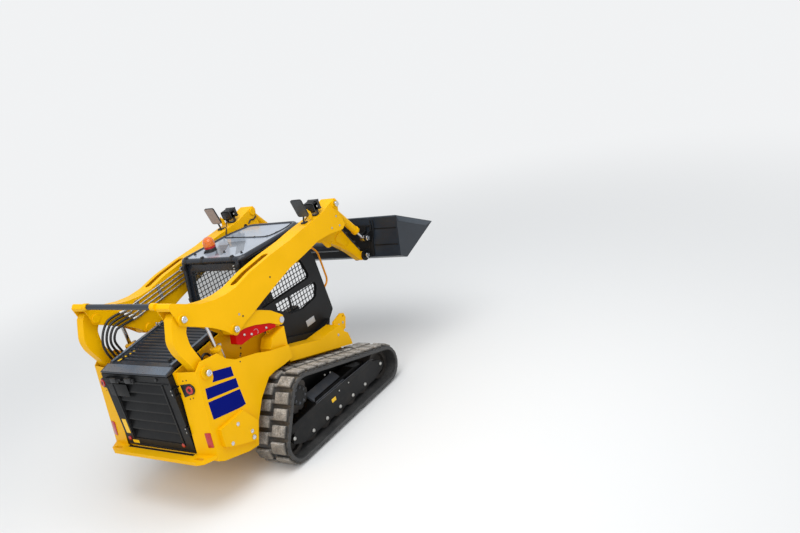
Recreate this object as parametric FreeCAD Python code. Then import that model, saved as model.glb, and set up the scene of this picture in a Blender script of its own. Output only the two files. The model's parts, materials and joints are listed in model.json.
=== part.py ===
"""Compact track loader with a vertical-lift arm: millimetres, +X forward, +Y left, +Z up, tracks on z = 0."""
import FreeCAD
import Part
import math
import os

V = FreeCAD.Vector
UP = V(0, 0, 1)
LEFT = V(0, 1, 0)

# Clearances
FIT = 0.05            # radial running fit of a pin in its bore
SEAT = 0.3            # gap between curved faces that carry each other
GAP = 8.0             # side gap between pieces that pass each other
PLATE = 10.0          # welded side plates

# Pins of the lift linkage, (x, z) seen from the side
PIN_REAR_FRAME = (-1675.0, 1325.0)
PIN_REAR_ARM = (-1697.0, 1870.0)
PIN_FRONT_ARM = (-1168.0, 1509.0)
PIN_FRONT_FRAME = (-538.0, 1299.0)
PIN_TILT_BASE = (717.0, 2083.0)
PIN_TILT_EYE = (1190.0, 1495.0)
PIN_BUCKET = (1172.0, 1290.0)
PIN_LIFT_BASE = (-1350.0, 660.0)
PIN_LIFT_EYE = (-1400.0, 1715.0)
PIN_R = 25.0
BOSS_R = 46.0
PIN_HEAD = 22.0       # how far a pin stands out of what holds it

# Stations across the machine, distances from the centre plane
TRACK_IN, TRACK_OUT = 550.0, 1000.0
TUB_IN, TUB_OUT = 490.0, 510.0
POD_SKIN_IN, POD_SKIN_OUT = 738.0, 750.0
ARM_IN, ARM_OUT = 535.0, 722.0
LINK_IN, LINK_OUT = 600.0, 700.0
TOWER_IN = 553.0
EAR_OUT = 593.0
LIFT_Y = 630.0
TILT_Y = 600.0
LEG_IN, LEG_OUT = 458.0, 535.0
CAB_OUT, CAB_WALL = 450.0, 40.0
CAB_REAR = -645.0
ROOF_REAR, ROOF_FRONT = -566.0, 440.0
CAB_FLOOR, CAB_EAVES = 720.0, 1950.0
ROOF_TOP = CAB_EAVES + 50
REAR_BEND = CAB_EAVES - 438     # where the rear wall starts to lean forward
FRONT_BEND = CAB_EAVES - 324    # where the front edge starts to lean back
SILL = CAB_EAVES - 546          # foot of the upper side windows

# Track and its wheels: (x, z, inner radius of the belt round the wheel)
BELT = 35.0
LUG = 30.0
REAR_IDLER = (-1059.0, 230.0, 165.0)
SPROCKET = (-790.0, 582.0, 200.0)
FRONT_IDLER = (497.0, 230.0, 165.0)
LUG_PITCH = 160.0
LUG_LENGTH = 98.0
LUG_ROWS = ((560.0, 738.0, 0.0), (790.0, 988.0, 0.5))    # from y, to y, offset in pitches
ROLLER_COUNT = 5
ROLLER_FIRST_X = -786.0
ROLLER_PITCH = 234.0
ROLLER_Z = 170.0
WHEEL_IN, WHEEL_OUT = 690.0, 860.0
BEAM_IN, BEAM_OUT = 650.0, 905.0
BEAM_PLATE = 18.0


def wire_of(points):
    return Part.makePolygon([*points, points[0]])


def side_prism(points, y0, y1):
    """Straight prism of an (x, z) outline between two stations across the machine."""
    face = Part.Face(wire_of([V(x, y0, z) for x, z in points]))
    return face.extrude(V(0, y1 - y0, 0))


def plan_prism(points, z0, z1):
    """Straight prism of an (x, y) outline between two heights."""
    face = Part.Face(wire_of([V(x, y, z0) for x, y in points]))
    return face.extrude(V(0, 0, z1 - z0))


def rounded_prism(corners, y0, y1):
    """Prism of an (x, z, corner radius) outline, with tangent arcs at its corners."""
    return Part.Face(rounded_wire(corners, y0)).extrude(V(0, y1 - y0, 0))


def rounded_wire(corners, y):
    edges = []
    last = None
    count = len(corners)
    first = None
    for index, (x, z, radius) in enumerate(corners):
        here = V(x, y, z)
        before = V(corners[index - 1][0], y, corners[index - 1][1])
        after = V(corners[(index + 1) % count][0], y, corners[(index + 1) % count][1])
        to_before = (before - here).normalize()
        to_after = (after - here).normalize()
        half = to_before.getAngle(to_after) / 2
        if radius and math.pi / 2 - half > 0.01:
            reach = radius / math.tan(half)
            start = here + to_before * reach
            end = here + to_after * reach
            middle = here + (to_before + to_after).normalize() * (radius / math.sin(half) - radius)
        else:
            start = end = here
        if last is not None:
            edges.append(Part.makeLine(last, start))
        if start != end:
            edges.append(Part.Arc(start, middle, end).toShape())
        first = first or start
        last = end
    edges.append(Part.makeLine(last, first))
    return Part.Wire(edges)


def box(x0, x1, y0, y1, z0, z1):
    return Part.makeBox(x1 - x0, y1 - y0, z1 - z0, V(x0, y0, z0))


def centred_box(x0, x1, half, z0, z1):
    """Box that reaches as far to the left as to the right."""
    return box(x0, x1, -half, half, z0, z1)


def cross_pin(place, radius, y0, y1):
    """Cylinder across the machine at an (x, z) place."""
    return Part.makeCylinder(radius, y1 - y0, V(place[0], y0, place[1]), LEFT)


def rod(start, end, radius):
    return Part.makeCylinder(radius, (end - start).Length, start, end - start)


def fuse(shapes):
    return shapes[0].multiFuse(list(shapes[1:])).removeSplitter() if len(shapes) > 1 else shapes[0]


def cut(shape, tools):
    return shape.cut(Part.makeCompound(list(tools)))


def mirrored(shape):
    return shape.mirror(V(0, 0, 0), LEFT)


def pair(left):
    """A left piece and its twin on the right."""
    return [left, mirrored(left)]


def export(node, shapes):
    """Writes one node; its solids don't touch one another."""
    solids = [solid for shape in shapes for solid in shape.Solids]
    shape = solids[0] if len(solids) == 1 else Part.makeCompound(solids)
    shape.exportStep("parts/" + node + ".step")
    print(node, len(solids), "solids", "valid" if shape.isValid() else "NOT VALID")


def unit(angle):
    return V(math.cos(angle), 0, math.sin(angle))


def belt_path(extra):
    """Straight and arc pieces round the three wheels, in order of travel, at a distance off the wheels."""
    wheels = [REAR_IDLER, SPROCKET, FRONT_IDLER]
    centres = [V(x, 0, z) for x, z, _ in wheels]
    radii = [radius + extra for _, _, radius in wheels]
    pieces = []
    normals = []
    for index in range(3):
        here, there = centres[index], centres[(index + 1) % 3]
        run = there - here
        lean = math.asin((radii[index] - radii[(index + 1) % 3]) / run.Length)
        normals.append(math.atan2(run.z, run.x) + math.pi / 2 - lean)
    for index in range(3):
        following = (index + 1) % 3
        start = centres[index] + unit(normals[index]) * radii[index]
        end = centres[following] + unit(normals[index]) * radii[following]
        pieces.append(("line", start, end, normals[index]))
        turn_from, turn_to = normals[index], normals[following]
        while turn_to > turn_from:
            turn_to -= 2 * math.pi
        pieces.append(("arc", centres[following], radii[following], turn_from, turn_to))
    return pieces


def belt_solid(extra, y0, y1):
    edges = []
    for piece in belt_path(extra):
        if piece[0] == "line":
            edges.append(Part.makeLine(piece[1], piece[2]))
        else:
            _, centre, radius, begin, finish = piece
            points = [centre + unit(angle) * radius for angle in (begin, (begin + finish) / 2, finish)]
            edges.append(Part.Arc(*points).toShape())
    face = Part.Face(Part.Wire(edges))
    face.translate(V(0, y0, 0))
    return face.extrude(V(0, y1 - y0, 0))


def belt_frames(extra, count, offset):
    """Places and outward angles of evenly spaced lugs along the belt."""
    pieces = belt_path(extra)
    lengths = [(p[2] - p[1]).Length if p[0] == "line" else p[2] * (p[3] - p[4]) for p in pieces]
    total = sum(lengths)
    frames = []
    for number in range(count):
        distance = (number + offset) * total / count % total
        for piece, length in zip(pieces, lengths):
            if distance <= length:
                if piece[0] == "line":
                    place = piece[1] + (piece[2] - piece[1]) * (distance / length)
                    frames.append((place, piece[3]))
                else:
                    angle = piece[3] - distance / piece[2]
                    frames.append((piece[1] + unit(angle) * piece[2], angle))
                break
            distance -= length
    return frames, total


def lug_block(place, angle, y0, y1):
    """Block lug, a little narrower at its tip, sunk into the belt."""
    root = BELT / 2
    half = LUG_LENGTH / 2
    tip = half - 10.0
    out = unit(angle)
    along = unit(angle - math.pi / 2)
    corners = [along * -half - out * root, along * half - out * root, along * half,
               along * tip + out * LUG, along * -tip + out * LUG, along * -half]
    face = Part.Face(wire_of([place + corner + V(0, y0, 0) for corner in corners]))
    return face.extrude(V(0, y1 - y0, 0))


def make_tracks():
    frames, total = belt_frames(BELT, 1, 0)
    count = round(total / LUG_PITCH)
    belt = belt_solid(BELT, TRACK_IN, TRACK_OUT).cut(belt_solid(0, TRACK_IN, TRACK_OUT))
    lugs = []
    for y0, y1, offset in LUG_ROWS:
        frames, total = belt_frames(BELT, count, offset)
        lugs += [lug_block(place, angle, y0, y1) for place, angle in frames]
    track = belt.multiFuse(lugs)
    export("track_left", [track])
    export("track_right", [mirrored(track)])


def make_running_gear():
    rollers = []
    idlers = []
    for number in range(ROLLER_COUNT):
        x = ROLLER_FIRST_X + number * ROLLER_PITCH
        radius = ROLLER_Z - LUG - BELT - SEAT
        wheel = cross_pin((x, ROLLER_Z), radius, WHEEL_IN, WHEEL_OUT)
        axle = cross_pin((x, ROLLER_Z), AXLE_R, BEAM_IN + BEAM_PLATE, BEAM_OUT - BEAM_PLATE)
        rollers += pair(wheel.fuse(axle))
    for x, z, radius in (REAR_IDLER, FRONT_IDLER):
        wheel = cross_pin((x, z), radius - SEAT, WHEEL_IN, WHEEL_OUT)
        recess = [cross_pin((x, z), radius - 45.0, y, y + 40.0) for y in (WHEEL_IN - 1, WHEEL_OUT - 39.0)]
        axle = cross_pin((x, z), AXLE_R, BEAM_IN + BEAM_PLATE, BEAM_OUT - BEAM_PLATE)
        idlers += pair(cut(wheel, recess).fuse(axle))
    export("track_rollers", rollers)
    export("track_idlers", idlers)

    x, z, radius = SPROCKET
    disc = cross_pin((x, z), radius - 8.0, SPROCKET_IN, SPROCKET_OUT)
    notches = []
    for tooth in range(SPROCKET_TEETH):
        centre = V(x, SPROCKET_IN, z) + unit(tooth * 2 * math.pi / SPROCKET_TEETH) * radius
        notches.append(Part.makeCylinder(26.0, SPROCKET_OUT - SPROCKET_IN, centre, LEFT))
    export("drive_sprockets", pair(cut(disc, notches)))
    motor = cross_pin((x, z), MOTOR_R, TUB_OUT, SPROCKET_IN)
    hub = cross_pin((x, z), HUB_R, SPROCKET_OUT, SPROCKET_OUT + 75.0)
    export("drive_motors", pair(motor) + pair(hub))

    plates = [rounded_prism(BEAM_OUTLINE, y, y + BEAM_PLATE) for y in (BEAM_IN, BEAM_OUT - BEAM_PLATE)]
    top = side_prism(BEAM_BOX, BEAM_IN + BEAM_PLATE, BEAM_OUT - BEAM_PLATE)
    hump = side_prism(BEAM_HUMP, BEAM_IN + 60.0, BEAM_OUT - 45.0)
    arms = [box(x, x + BEAM_ARM, TUB_OUT, BEAM_IN, BEAM_ARM_LOW, BEAM_ARM_TOP) for x in BEAM_ARMS]
    export("track_frames", pair(fuse(plates + [top, hump] + arms)))


AXLE_R = 28.0
SPROCKET_IN, SPROCKET_OUT = 740.0, 800.0
SPROCKET_TEETH = 12
MOTOR_R = 120.0
HUB_R = 105.0
BEAM_OUTLINE = ((-1100, 205, 20), (-1042, 300, 30), (-840, 345, 60), (342, 345, 40), (470, 300, 40),
                (560, 235, 30), (500, 175, 30), (330, 130, 30), (-940, 130, 30))
BEAM_BOX = ((-900, 292), (-840, 345), (330, 345), (330, 292))
BEAM_HUMP = ((-700, 340), (-560, 410), (100, 410), (330, 340))
BEAM_ARMS = (-560.0, 40.0)
BEAM_ARM = 90.0
BEAM_ARM_LOW, BEAM_ARM_TOP = 290.0, 350.0

# Tub: floor and two side walls between the tracks
DECK = (-1040.0, -652.0, 508.0, 1492.0, 1512.0)
TUB_WALL = ((-1880, 575), (-1812, 475), (-1505, 381), (-1350, 290), (330, 290), (380, 420), (380, 700),
            (-640, 700), (-640, DECK[3]), (-1040, DECK[3]), (-1050, 1478), (-1788, 1396), (-1826, 1386),
            (-1826, 575))
TUB_FLOOR = ((-1826, 500), (-1812, 475), (-1505, 381), (-1350, 290), (330, 290), (380, 420), (380, 700),
             (368, 700), (368, 425), (323, 302), (-1345, 302), (-1501, 393), (-1805, 487), (-1826, 525))
ENGINE_BLOCK = (-1700.0, -1080.0, 360.0, 480.0, 1250.0)
ENGINE_SUMP = (-1345.0, -1130.0, 200.0, 302.0, 480.0)
CROSS_MEMBERS = ((-600.0, -520.0), (220.0, 300.0))
CROSS_LOW, CROSS_TOP = 620.0, 690.0
MOUNT_R = 34.0
MOUNT_Y = 370.0


def make_tub():
    walls = pair(side_prism(TUB_WALL, TUB_IN, TUB_OUT))
    floor = side_prism(TUB_FLOOR, -TUB_IN, TUB_IN)
    members = [centred_box(x0, x1, TUB_IN, CROSS_LOW, CROSS_TOP) for x0, x1 in CROSS_MEMBERS]
    x, y = DOOR_HINGE
    brackets = []
    for z in DOOR_HINGE_Z:
        for z0, z1 in hinge_ends(z):
            plate = box(x, TUB_REAR, -TUB_OUT, -TUB_OUT + HINGE_PLATE, z0, z1)
            brackets.append(plate.fuse(Part.makeCylinder(KNUCKLE_R, z1 - z0, V(x, y, z0))))
        brackets.append(Part.makeCylinder(HINGE_PIN_R, 2 * HINGE_REACH, V(x, y, z - HINGE_REACH)))
    export("chassis_tub", [fuse(walls + [floor] + members + brackets)])
    mounts = []
    for x0, x1 in CROSS_MEMBERS:
        place = V((x0 + x1) / 2, MOUNT_Y, CROSS_TOP)
        mounts += pair(Part.makeCylinder(MOUNT_R, CAB_FLOOR - CROSS_TOP, place))
    export("cab_mounts", mounts)
    export("engine_block", [centred_box(*ENGINE_BLOCK).fuse(centred_box(*ENGINE_SUMP))])
    hinges = pair(cross_pin(HOOD_HINGE, HINGE_PIN_R, HINGE_Y - HINGE_REACH, HINGE_Y + HINGE_REACH))
    for y0, y1 in hinge_ends(HINGE_Y):
        hinges += pair(cross_pin(HOOD_HINGE, KNUCKLE_R, y0, y1))
    room = pair(cross_pin(HOOD_HINGE, KNUCKLE_R + HINGE_GAP, *hinge_middle(HINGE_Y, HINGE_GAP)))
    export("rear_deck", [fuse([cut(centred_box(*DECK), room)] + hinges)])


# Hinges of the hood and the rear door: a pin held at both ends, with the moving knuckle between them
HINGE_PIN_R = 8.0
KNUCKLE_R = 13.0
HINGE_HALF = 30.0
HINGE_GAP = 1.0
HINGE_REACH = 43.0
HINGE_PLATE = 13.0
HOOD_HINGE = (-1043.0, 1510.0)
HINGE_Y = 300.0
DOOR_HINGE = (-1895.0, -500.0)
DOOR_HINGE_Z = (820.0, 1220.0)
TUB_REAR = -1820.0


def hinge_ends(place):
    """Spans of the two fixed knuckles about a hinge's middle."""
    inner = HINGE_HALF + HINGE_GAP
    return (place - HINGE_REACH, place - inner), (place + inner, place + HINGE_REACH)


def hinge_middle(place, gap=0.0):
    """Span of the moving knuckle."""
    return place - HINGE_HALF - gap, place + HINGE_HALF + gap


# Side pods: outline of the outer skin, and the corner facet beside the rear door
POD_OUTLINE = ((-1770, 1386), (-1692, 1445), (-1481, 1418), (-1403, 1324), (-1297, 1256), (-1028, 1181),
               (-863, 1115), (-600, 1045), (-600, 905), (-730, 897), (-885, 903), (-983, 891), (-1153, 755),
               (-1278, 584), (-1379, 367), (-1505, 381), (-1812, 475), (-1920, 540), (-1920, 1386))
FACET = (V(-1864, POD_SKIN_OUT, 565), V(-1770, POD_SKIN_OUT, 1386), V(-1900, TUB_OUT, 565))
FACET_SKIN = 8.0
COVER_BOX = ((-1766, 782), (-1445, 796), (-1318, 612), (-1396, 442), (-1701, 560), (-1778, 607))
COVER_OUT = 790.0


def pod_outer():
    """Solid shape of the left pod before it is hollowed."""
    solid = side_prism(POD_OUTLINE, TUB_OUT, POD_SKIN_OUT)
    return solid.cut(facet_cutter(0))


def facet_cutter(inset):
    """Block whose face is the facet, moved forward by an inset."""
    low, high, inner = FACET
    normal = (high - low).cross(inner - low).normalize()
    if normal.x > 0:
        normal = normal * -1
    size = 4000.0
    block = Part.makeBox(size, size, size, V(-size / 2, -size / 2, 0))
    block.Placement = FreeCAD.Placement(low - normal * inset, FreeCAD.Rotation(UP, normal))
    return block


def make_pods():
    outer = pod_outer()
    face = Part.Face(wire_of([V(x, TUB_OUT, z) for x, z in POD_OUTLINE]))
    inner_face = face.makeOffset2D(-PLATE)
    inner = inner_face.extrude(V(0, POD_SKIN_IN - TUB_OUT, 0)).cut(facet_cutter(FACET_SKIN))
    raised = inner.translated(V(0, 0, 4 * PLATE))
    shell = outer.cut(inner).cut(raised)
    boss = cross_pin(PIN_REAR_FRAME, POD_BOSS_R, POD_SKIN_IN, POD_SKIN_OUT + POD_BOSS)
    cover = side_prism(COVER_BOX, POD_SKIN_OUT, COVER_OUT)
    shell = fuse([shell, boss, cover]).cut(tower_solid())
    export("side_pods", pair(shell))


POD_BOSS_R = 60.0
POD_BOSS = 12.0
TAIL_R = 38.0

# Fenders, towers and nose brackets in front of the pods
FENDER = ((-600, 1030), (-519, 977), (-107, 845), (71, 845), (258, 840), (290, 790), (305, 739), (352, 698),
          (373, 595), (373, 549), (-600, 852))
TOWER = ((-535, 1225), (-568, 1013), (-519, 977), (-560, 930), (-800, 930), (-800, 1100), (-740, 1190))
EAR = ((-603, 1299), (-473, 1299), (-500, 1150), (-700, 1150))
BRACKET = ((238, 800), (258, 869), (410, 907), (457, 888), (471, 833), (419, 723), (300, 700))
BRACKET_EYE = (432.0, 862.0)
BRACKET_IN, BRACKET_OUT = 600.0, 625.0
BRACKET_EYE_R = 13.0


def tower_solid():
    return side_prism(TOWER, TOWER_IN, LINK_OUT)


def make_front_frame():
    fender = side_prism(FENDER, TUB_OUT, LINK_OUT)
    tower = tower_solid()
    ear = fuse([side_prism(EAR, TOWER_IN, EAR_OUT), cross_pin(PIN_FRONT_FRAME, 65, TOWER_IN, EAR_OUT)])
    bracket = cut(side_prism(BRACKET, BRACKET_IN, BRACKET_OUT),
                  [cross_pin(BRACKET_EYE, BRACKET_EYE_R, BRACKET_IN, BRACKET_OUT)])
    export("link_towers", pair(fuse([tower, ear, fender, bracket])))


def make_frame_pins():
    front = cross_pin(PIN_FRONT_FRAME, PIN_R, EAR_OUT, LINK_OUT + 6)
    rear = cross_pin(PIN_REAR_FRAME, PIN_R, POD_SKIN_OUT + POD_BOSS, POD_SKIN_OUT + POD_BOSS + PIN_HEAD)
    boss_end = LIFT_Y - LIFT_BARREL_R - GAP
    lift = fuse([cross_pin(PIN_LIFT_BASE, PIN_R, TUB_OUT, LIFT_Y + EYE_WIDTH / 2 + PIN_HEAD),
                 cross_pin(PIN_LIFT_BASE, LIFT_EYE_R, TUB_OUT, boss_end)])
    export("frame_pins", pair(front) + pair(rear) + pair(lift))


# Rear door, bumper and hood
DOOR = (-1891.0, -1831.0, 493.0, 585.0, 1377.0)
DOOR_PANEL = (350.0, 665.0, 1290.0)
SLAT_COUNT = 6
BACKING = 12.0
DOOR_HANDLES = (190.0, 330.0)
HANDLE_LENGTH, HANDLE_DEPTH = 90.0, 26.0
HANDLE_Z = (1318.0, 1345.0)
BUMPER = ((-2012, -600), (-2012, 600), (-1978, 670), (-1850, 748), (-1850, 560), (-1897, 500),
          (-1897, -500), (-1850, -560), (-1850, -748), (-1978, -670))
BUMPER_Z0, BUMPER_Z1 = 535.0, 572.0
TOW_SLOT = (-1955.0, 595.0, 84.0, 32.0)
HOOD_REAR, HOOD_FRONT = (-1788.0, 1431.0), (-1046.0, 1517.0)
HOOD_HALF = 458.0
HOOD_THICK = 34.0
HOOD_BEVEL = ((-1788, 1397), (-1788, 1431), (-1893, 1400), (-1893, 1386), (-1800, 1386))
RAIL_WIDTH = 42.0
RAIL_HEIGHT = 12.0
LOUVRE_COUNT = 13


def make_rear():
    x0, x1, half, z0, z1 = DOOR
    panel_half, panel_low, panel_high = DOOR_PANEL
    door = box(x0, x1, -half, half, z0, z1)
    opening = box(x0 - 1, x1 + 1, -panel_half, panel_half, panel_low, panel_high)
    slats = []
    pitch = (panel_high - panel_low) / SLAT_COUNT
    for number in range(SLAT_COUNT):
        low = panel_low + number * pitch
        profile = ((x0 + 8, low), (x0 + 14, low), (x1 - BACKING, low + pitch * 0.72),
                   (x1 - BACKING, low + pitch), (x1 - 22, low + pitch), (x1 - 22, low + pitch * 0.75),
                   (x0 + 8, low + 12))
        slats.append(side_prism(profile, -panel_half, panel_half))
    backing = box(x1 - BACKING, x1 - 4, -panel_half, panel_half, panel_low, panel_high)
    low, high = HANDLE_Z
    handles = [box(x0 - HANDLE_DEPTH, x0, y, y + HANDLE_LENGTH, low, high) for y in DOOR_HANDLES]
    x, y = DOOR_HINGE
    knuckles = []
    rooms = []
    bores = []
    for z in DOOR_HINGE_Z:
        low, high = hinge_middle(z)
        web = box(x, x0 + HINGE_PLATE, y, -half, low, high)
        knuckles.append(web.fuse(Part.makeCylinder(KNUCKLE_R, high - low, V(x, y, low))))
        bores.append(Part.makeCylinder(HINGE_PIN_R + FIT, high - low, V(x, y, low)))
        for base, top in hinge_ends(z):
            foot = V(x, y, base - HINGE_GAP / 2)
            rooms.append(Part.makeCylinder(KNUCKLE_R + HINGE_GAP, top - base + HINGE_GAP, foot))
    panel = cut(fuse([cut(door, [opening]), backing] + slats + handles), rooms)
    export("rear_door", [cut(fuse([panel] + knuckles), bores)])

    plate = plan_prism(BUMPER, BUMPER_Z0, BUMPER_Z1)
    x, y, length, width = TOW_SLOT
    slots = []
    for side in (1, -1):
        slot = [box(x - width / 2, x + width / 2, side * y - length / 2, side * y + length / 2,
                    BUMPER_Z0, BUMPER_Z1)]
        for end in (-1, 1):
            slot.append(Part.makeCylinder(width / 2, BUMPER_Z1 - BUMPER_Z0,
                                          V(x, side * y + end * length / 2, BUMPER_Z0)))
        slots += slot
    keep = cut(plate, slots).cut(pod_outer()).cut(mirrored(pod_outer()))
    keep = keep.cut(box(TUB_WALL[0][0], 0, -TUB_OUT, TUB_OUT, 0, HOOD_REAR[1]))
    export("rear_bumper", [keep])


def hood_top(x):
    """Height of the hood's top at a station along the machine."""
    share = (x - HOOD_REAR[0]) / (HOOD_FRONT[0] - HOOD_REAR[0])
    return HOOD_REAR[1] + share * (HOOD_FRONT[1] - HOOD_REAR[1])


def make_hood():
    x0, x1 = HOOD_REAR[0], HOOD_FRONT[0]
    slab = side_prism(((x0, hood_top(x0)), (x1, hood_top(x1)), (x1, hood_top(x1) - HOOD_THICK),
                       (x0, hood_top(x0) - HOOD_THICK)), -HOOD_HALF, HOOD_HALF)
    bevel = side_prism(HOOD_BEVEL, -HOOD_HALF - 30, HOOD_HALF + 30)
    rails = []
    for side in (1, -1):
        y0, y1 = sorted((side * (HOOD_HALF - RAIL_WIDTH), side * HOOD_HALF))
        rails.append(side_prism(((x0, hood_top(x0)), (x1, hood_top(x1)), (x1, hood_top(x1) + RAIL_HEIGHT),
                                 (x0 + 20, hood_top(x0 + 20) + RAIL_HEIGHT)), y0, y1))
    grooves = []
    pitch = (x1 - x0 - 90) / LOUVRE_COUNT
    for number in range(LOUVRE_COUNT):
        x = x0 + 60 + number * pitch
        profile = ((x, hood_top(x) + 1), (x + pitch * 0.62, hood_top(x + pitch * 0.62) + 1),
                   (x + pitch * 0.45, hood_top(x) - 16), (x + pitch * 0.12, hood_top(x) - 16))
        grooves.append(side_prism(profile, -HOOD_HALF + RAIL_WIDTH + 25, HOOD_HALF - RAIL_WIDTH - 25))
    rooms = []
    for y0, y1 in hinge_ends(HINGE_Y):
        rooms += pair(cross_pin(HOOD_HINGE, KNUCKLE_R + HINGE_GAP, y0 - HINGE_GAP, y1 + HINGE_GAP))
    hood = cut(fuse([slab, bevel] + rails), grooves + rooms)
    knuckles = pair(cross_pin(HOOD_HINGE, KNUCKLE_R, *hinge_middle(HINGE_Y)))
    bores = pair(cross_pin(HOOD_HINGE, HINGE_PIN_R + FIT, *hinge_middle(HINGE_Y)))
    export("engine_hood", [cut(fuse([hood] + knuckles), bores)])


# Lamps on the corner facets, beacon, mirrors and work lights
def make_lamps():
    low, high, inner = FACET
    normal = (high - low).cross(inner - low).normalize()
    if normal.x > 0:
        normal = normal * -1
    across = (inner - low)
    across.z = 0
    across.normalize()
    share, inward = TAIL_PLACE
    lamp = Part.makeCylinder(TAIL_R, TAIL_DEPTH, low + (high - low) * share + across * inward, normal)
    share, inward = REFLECTOR_PLACE
    stripe = low + (high - low) * share + across * inward
    width, height, thick = REFLECTOR
    reflector = Part.makeBox(width, height, thick)
    reflector.translate(V(-width / 2, -height / 2, 0))
    reflector.Placement = FreeCAD.Placement(stripe, FreeCAD.Rotation(V(0, 0, 1), normal)).multiply(
        reflector.Placement)
    export("tail_lamps", pair(lamp) + pair(reflector))
    x, y = BEACON
    z = ROOF_TOP
    base = Part.makeCylinder(BEACON_R - 3, BEACON_BASE, V(x, y, z))
    cap = Part.makeSphere(BEACON_R, V(x, y, z + BEACON_BASE + BEACON_WALL), UP, 0, 90)
    dome = Part.makeCylinder(BEACON_R, BEACON_WALL, V(x, y, z + BEACON_BASE)).fuse(cap)
    export("beacon", [base.fuse(dome)])
    arm = rounded_prism(ARM, ARM_IN, ARM_OUT)
    x0, x1, y, z, tilt = WORK_LIGHT
    back = Part.makeCone(LIGHT_BACK_R, LIGHT_R, LIGHT_BACK, V(x0, y, z), V(1, 0, tilt))
    front = V(x0, y, z) + V(1, 0, tilt).normalize() * LIGHT_BACK
    housing = Part.makeCylinder(LIGHT_R, x1 - x0 - LIGHT_BACK, front, V(1, 0, tilt))
    foot = box(*LIGHT_FOOT).cut(arm)
    export("work_lights", pair(fuse([back, housing, foot])))
    x, y, z = MIRROR
    thick, width, height = MIRROR_SIZE
    head = Part.makeBox(thick, width, height, V(-thick / 2, -width / 2, -height / 2))
    head.Placement = FreeCAD.Placement(V(x, y, z), FreeCAD.Rotation(LEFT, MIRROR_LEAN))
    low = head.Placement.multVec(V(0, 0, -height / 2 + thick))
    stalk = rod(V(low.x, MIRROR_FOOT_Y, MIRROR_FOOT_Z), low, STALK_R)
    foot = box(*MIRROR_FOOT)
    export("mirrors", pair(fuse([head, fuse([stalk, foot]).cut(arm)])))


WORK_LIGHT = (388.0, 520.0, 634.0, 2158.0, 0.12)         # from x, to x, y, z, rise along x
LIGHT_R = 84.0
LIGHT_BACK_R, LIGHT_BACK = 58.0, 40.0
LIGHT_FOOT = (425.0, 485.0, 600.0, 668.0, 2030.0, 2100.0)
MIRROR = (235.0, 662.0, 2213.0)
MIRROR_SIZE = (16.0, 150.0, 212.0)
MIRROR_LEAN = -15.8
MIRROR_FOOT = (244.0, 292.0, 606.0, 664.0, 2020.0, 2048.0)
MIRROR_FOOT_Y, MIRROR_FOOT_Z = 638.0, 2025.0
STALK_R = 12.0
BEACON = (-335.0, 212.0)
BEACON_R = 64.0
BEACON_BASE = 56.0
BEACON_WALL = 45.0
TAIL_PLACE = (0.76, 120.0)         # share of the facet's height, distance from its outer edge
TAIL_DEPTH = 18.0
REFLECTOR_PLACE = (0.2, 60.0)
REFLECTOR = (45.0, 95.0, 6.0)

# Cab
CAB_SIDE = ((CAB_REAR, CAB_FLOOR, 0), (CAB_REAR, REAR_BEND, 0), (ROOF_REAR, CAB_EAVES, 0),
            (190, CAB_EAVES, 60), (448, FRONT_BEND, 200), (500, 923, 40), (408, 848, 30), (335, CAB_FLOOR, 0))
HEADER = 100.0         # wall over the windows
WINDOW_UP = ((-520, SILL, 40), (-540, CAB_EAVES - HEADER, 50), (130, CAB_EAVES - HEADER + 10, 70),
             (253, FRONT_BEND - 49, 120), (297, SILL, 40))
WINDOW_LOW = ((-330, SILL - 114, 40), (-330, SILL - 32, 30), (340, SILL - 74, 30), (355, SILL - 134, 40),
              (294, SILL - 242, 60), (45, SILL - 269, 100), (-153, SILL - 229, 100))
MESH_BAR = 7.0
MESH_PITCH = 50.0
MESH_THICK = 6.0
MESH_RIM = 12.0
MESH_INSET = 22.0
SKIRT = ((-358, 992), (142, 820), (355, 874), (278, 751), (95, 721), (-398, 907))
SKIRT_OUT = 500.0
FLOOR_THICK = 20.0
REAR_WINDOW = (330.0, REAR_BEND + 18, CAB_EAVES - 80)
REAR_GLASS = (17.0, 23.0)         # faces of the pane, from the wall's outer face
RAIL_R = 34.0
RAIL_Z = CAB_EAVES + RAIL_R - 5
RAIL_Y = CAB_OUT - 10.0
ROOF_PLAN = ((ROOF_REAR, -RAIL_Y, 70), (ROOF_REAR, RAIL_Y, 70), (150, RAIL_Y, 300), (ROOF_FRONT, 345, 80),
             (ROOF_FRONT, -345, 80), (150, -RAIL_Y, 300))     # x, y, bend radius
POST_R = 22.0
POST_Y = 400.0
POST_SUNK = 6.0


def lattice(corners, y):
    """Woven mesh of a window: square bars in two directions inside a rim."""
    wide = [corner[0] for corner in corners]
    high = [corner[1] for corner in corners]
    outline = rounded_prism(corners, y, y + MESH_THICK)
    opening = Part.Face(rounded_wire(corners, y)).makeOffset2D(-MESH_RIM).extrude(V(0, MESH_THICK, 0))
    bars = [outline.cut(opening)]
    for number in range(int((max(wide) - min(wide)) / MESH_PITCH)):
        x = min(wide) + (number + 0.5) * MESH_PITCH
        bars.append(box(x, x + MESH_BAR, y, y + MESH_THICK, min(high), max(high)))
    for number in range(int((max(high) - min(high)) / MESH_PITCH)):
        z = min(high) + (number + 0.5) * MESH_PITCH
        bars.append(box(min(wide), max(wide), y, y + MESH_THICK, z, z + MESH_BAR))
    return fuse(bars).common(outline)


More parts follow.
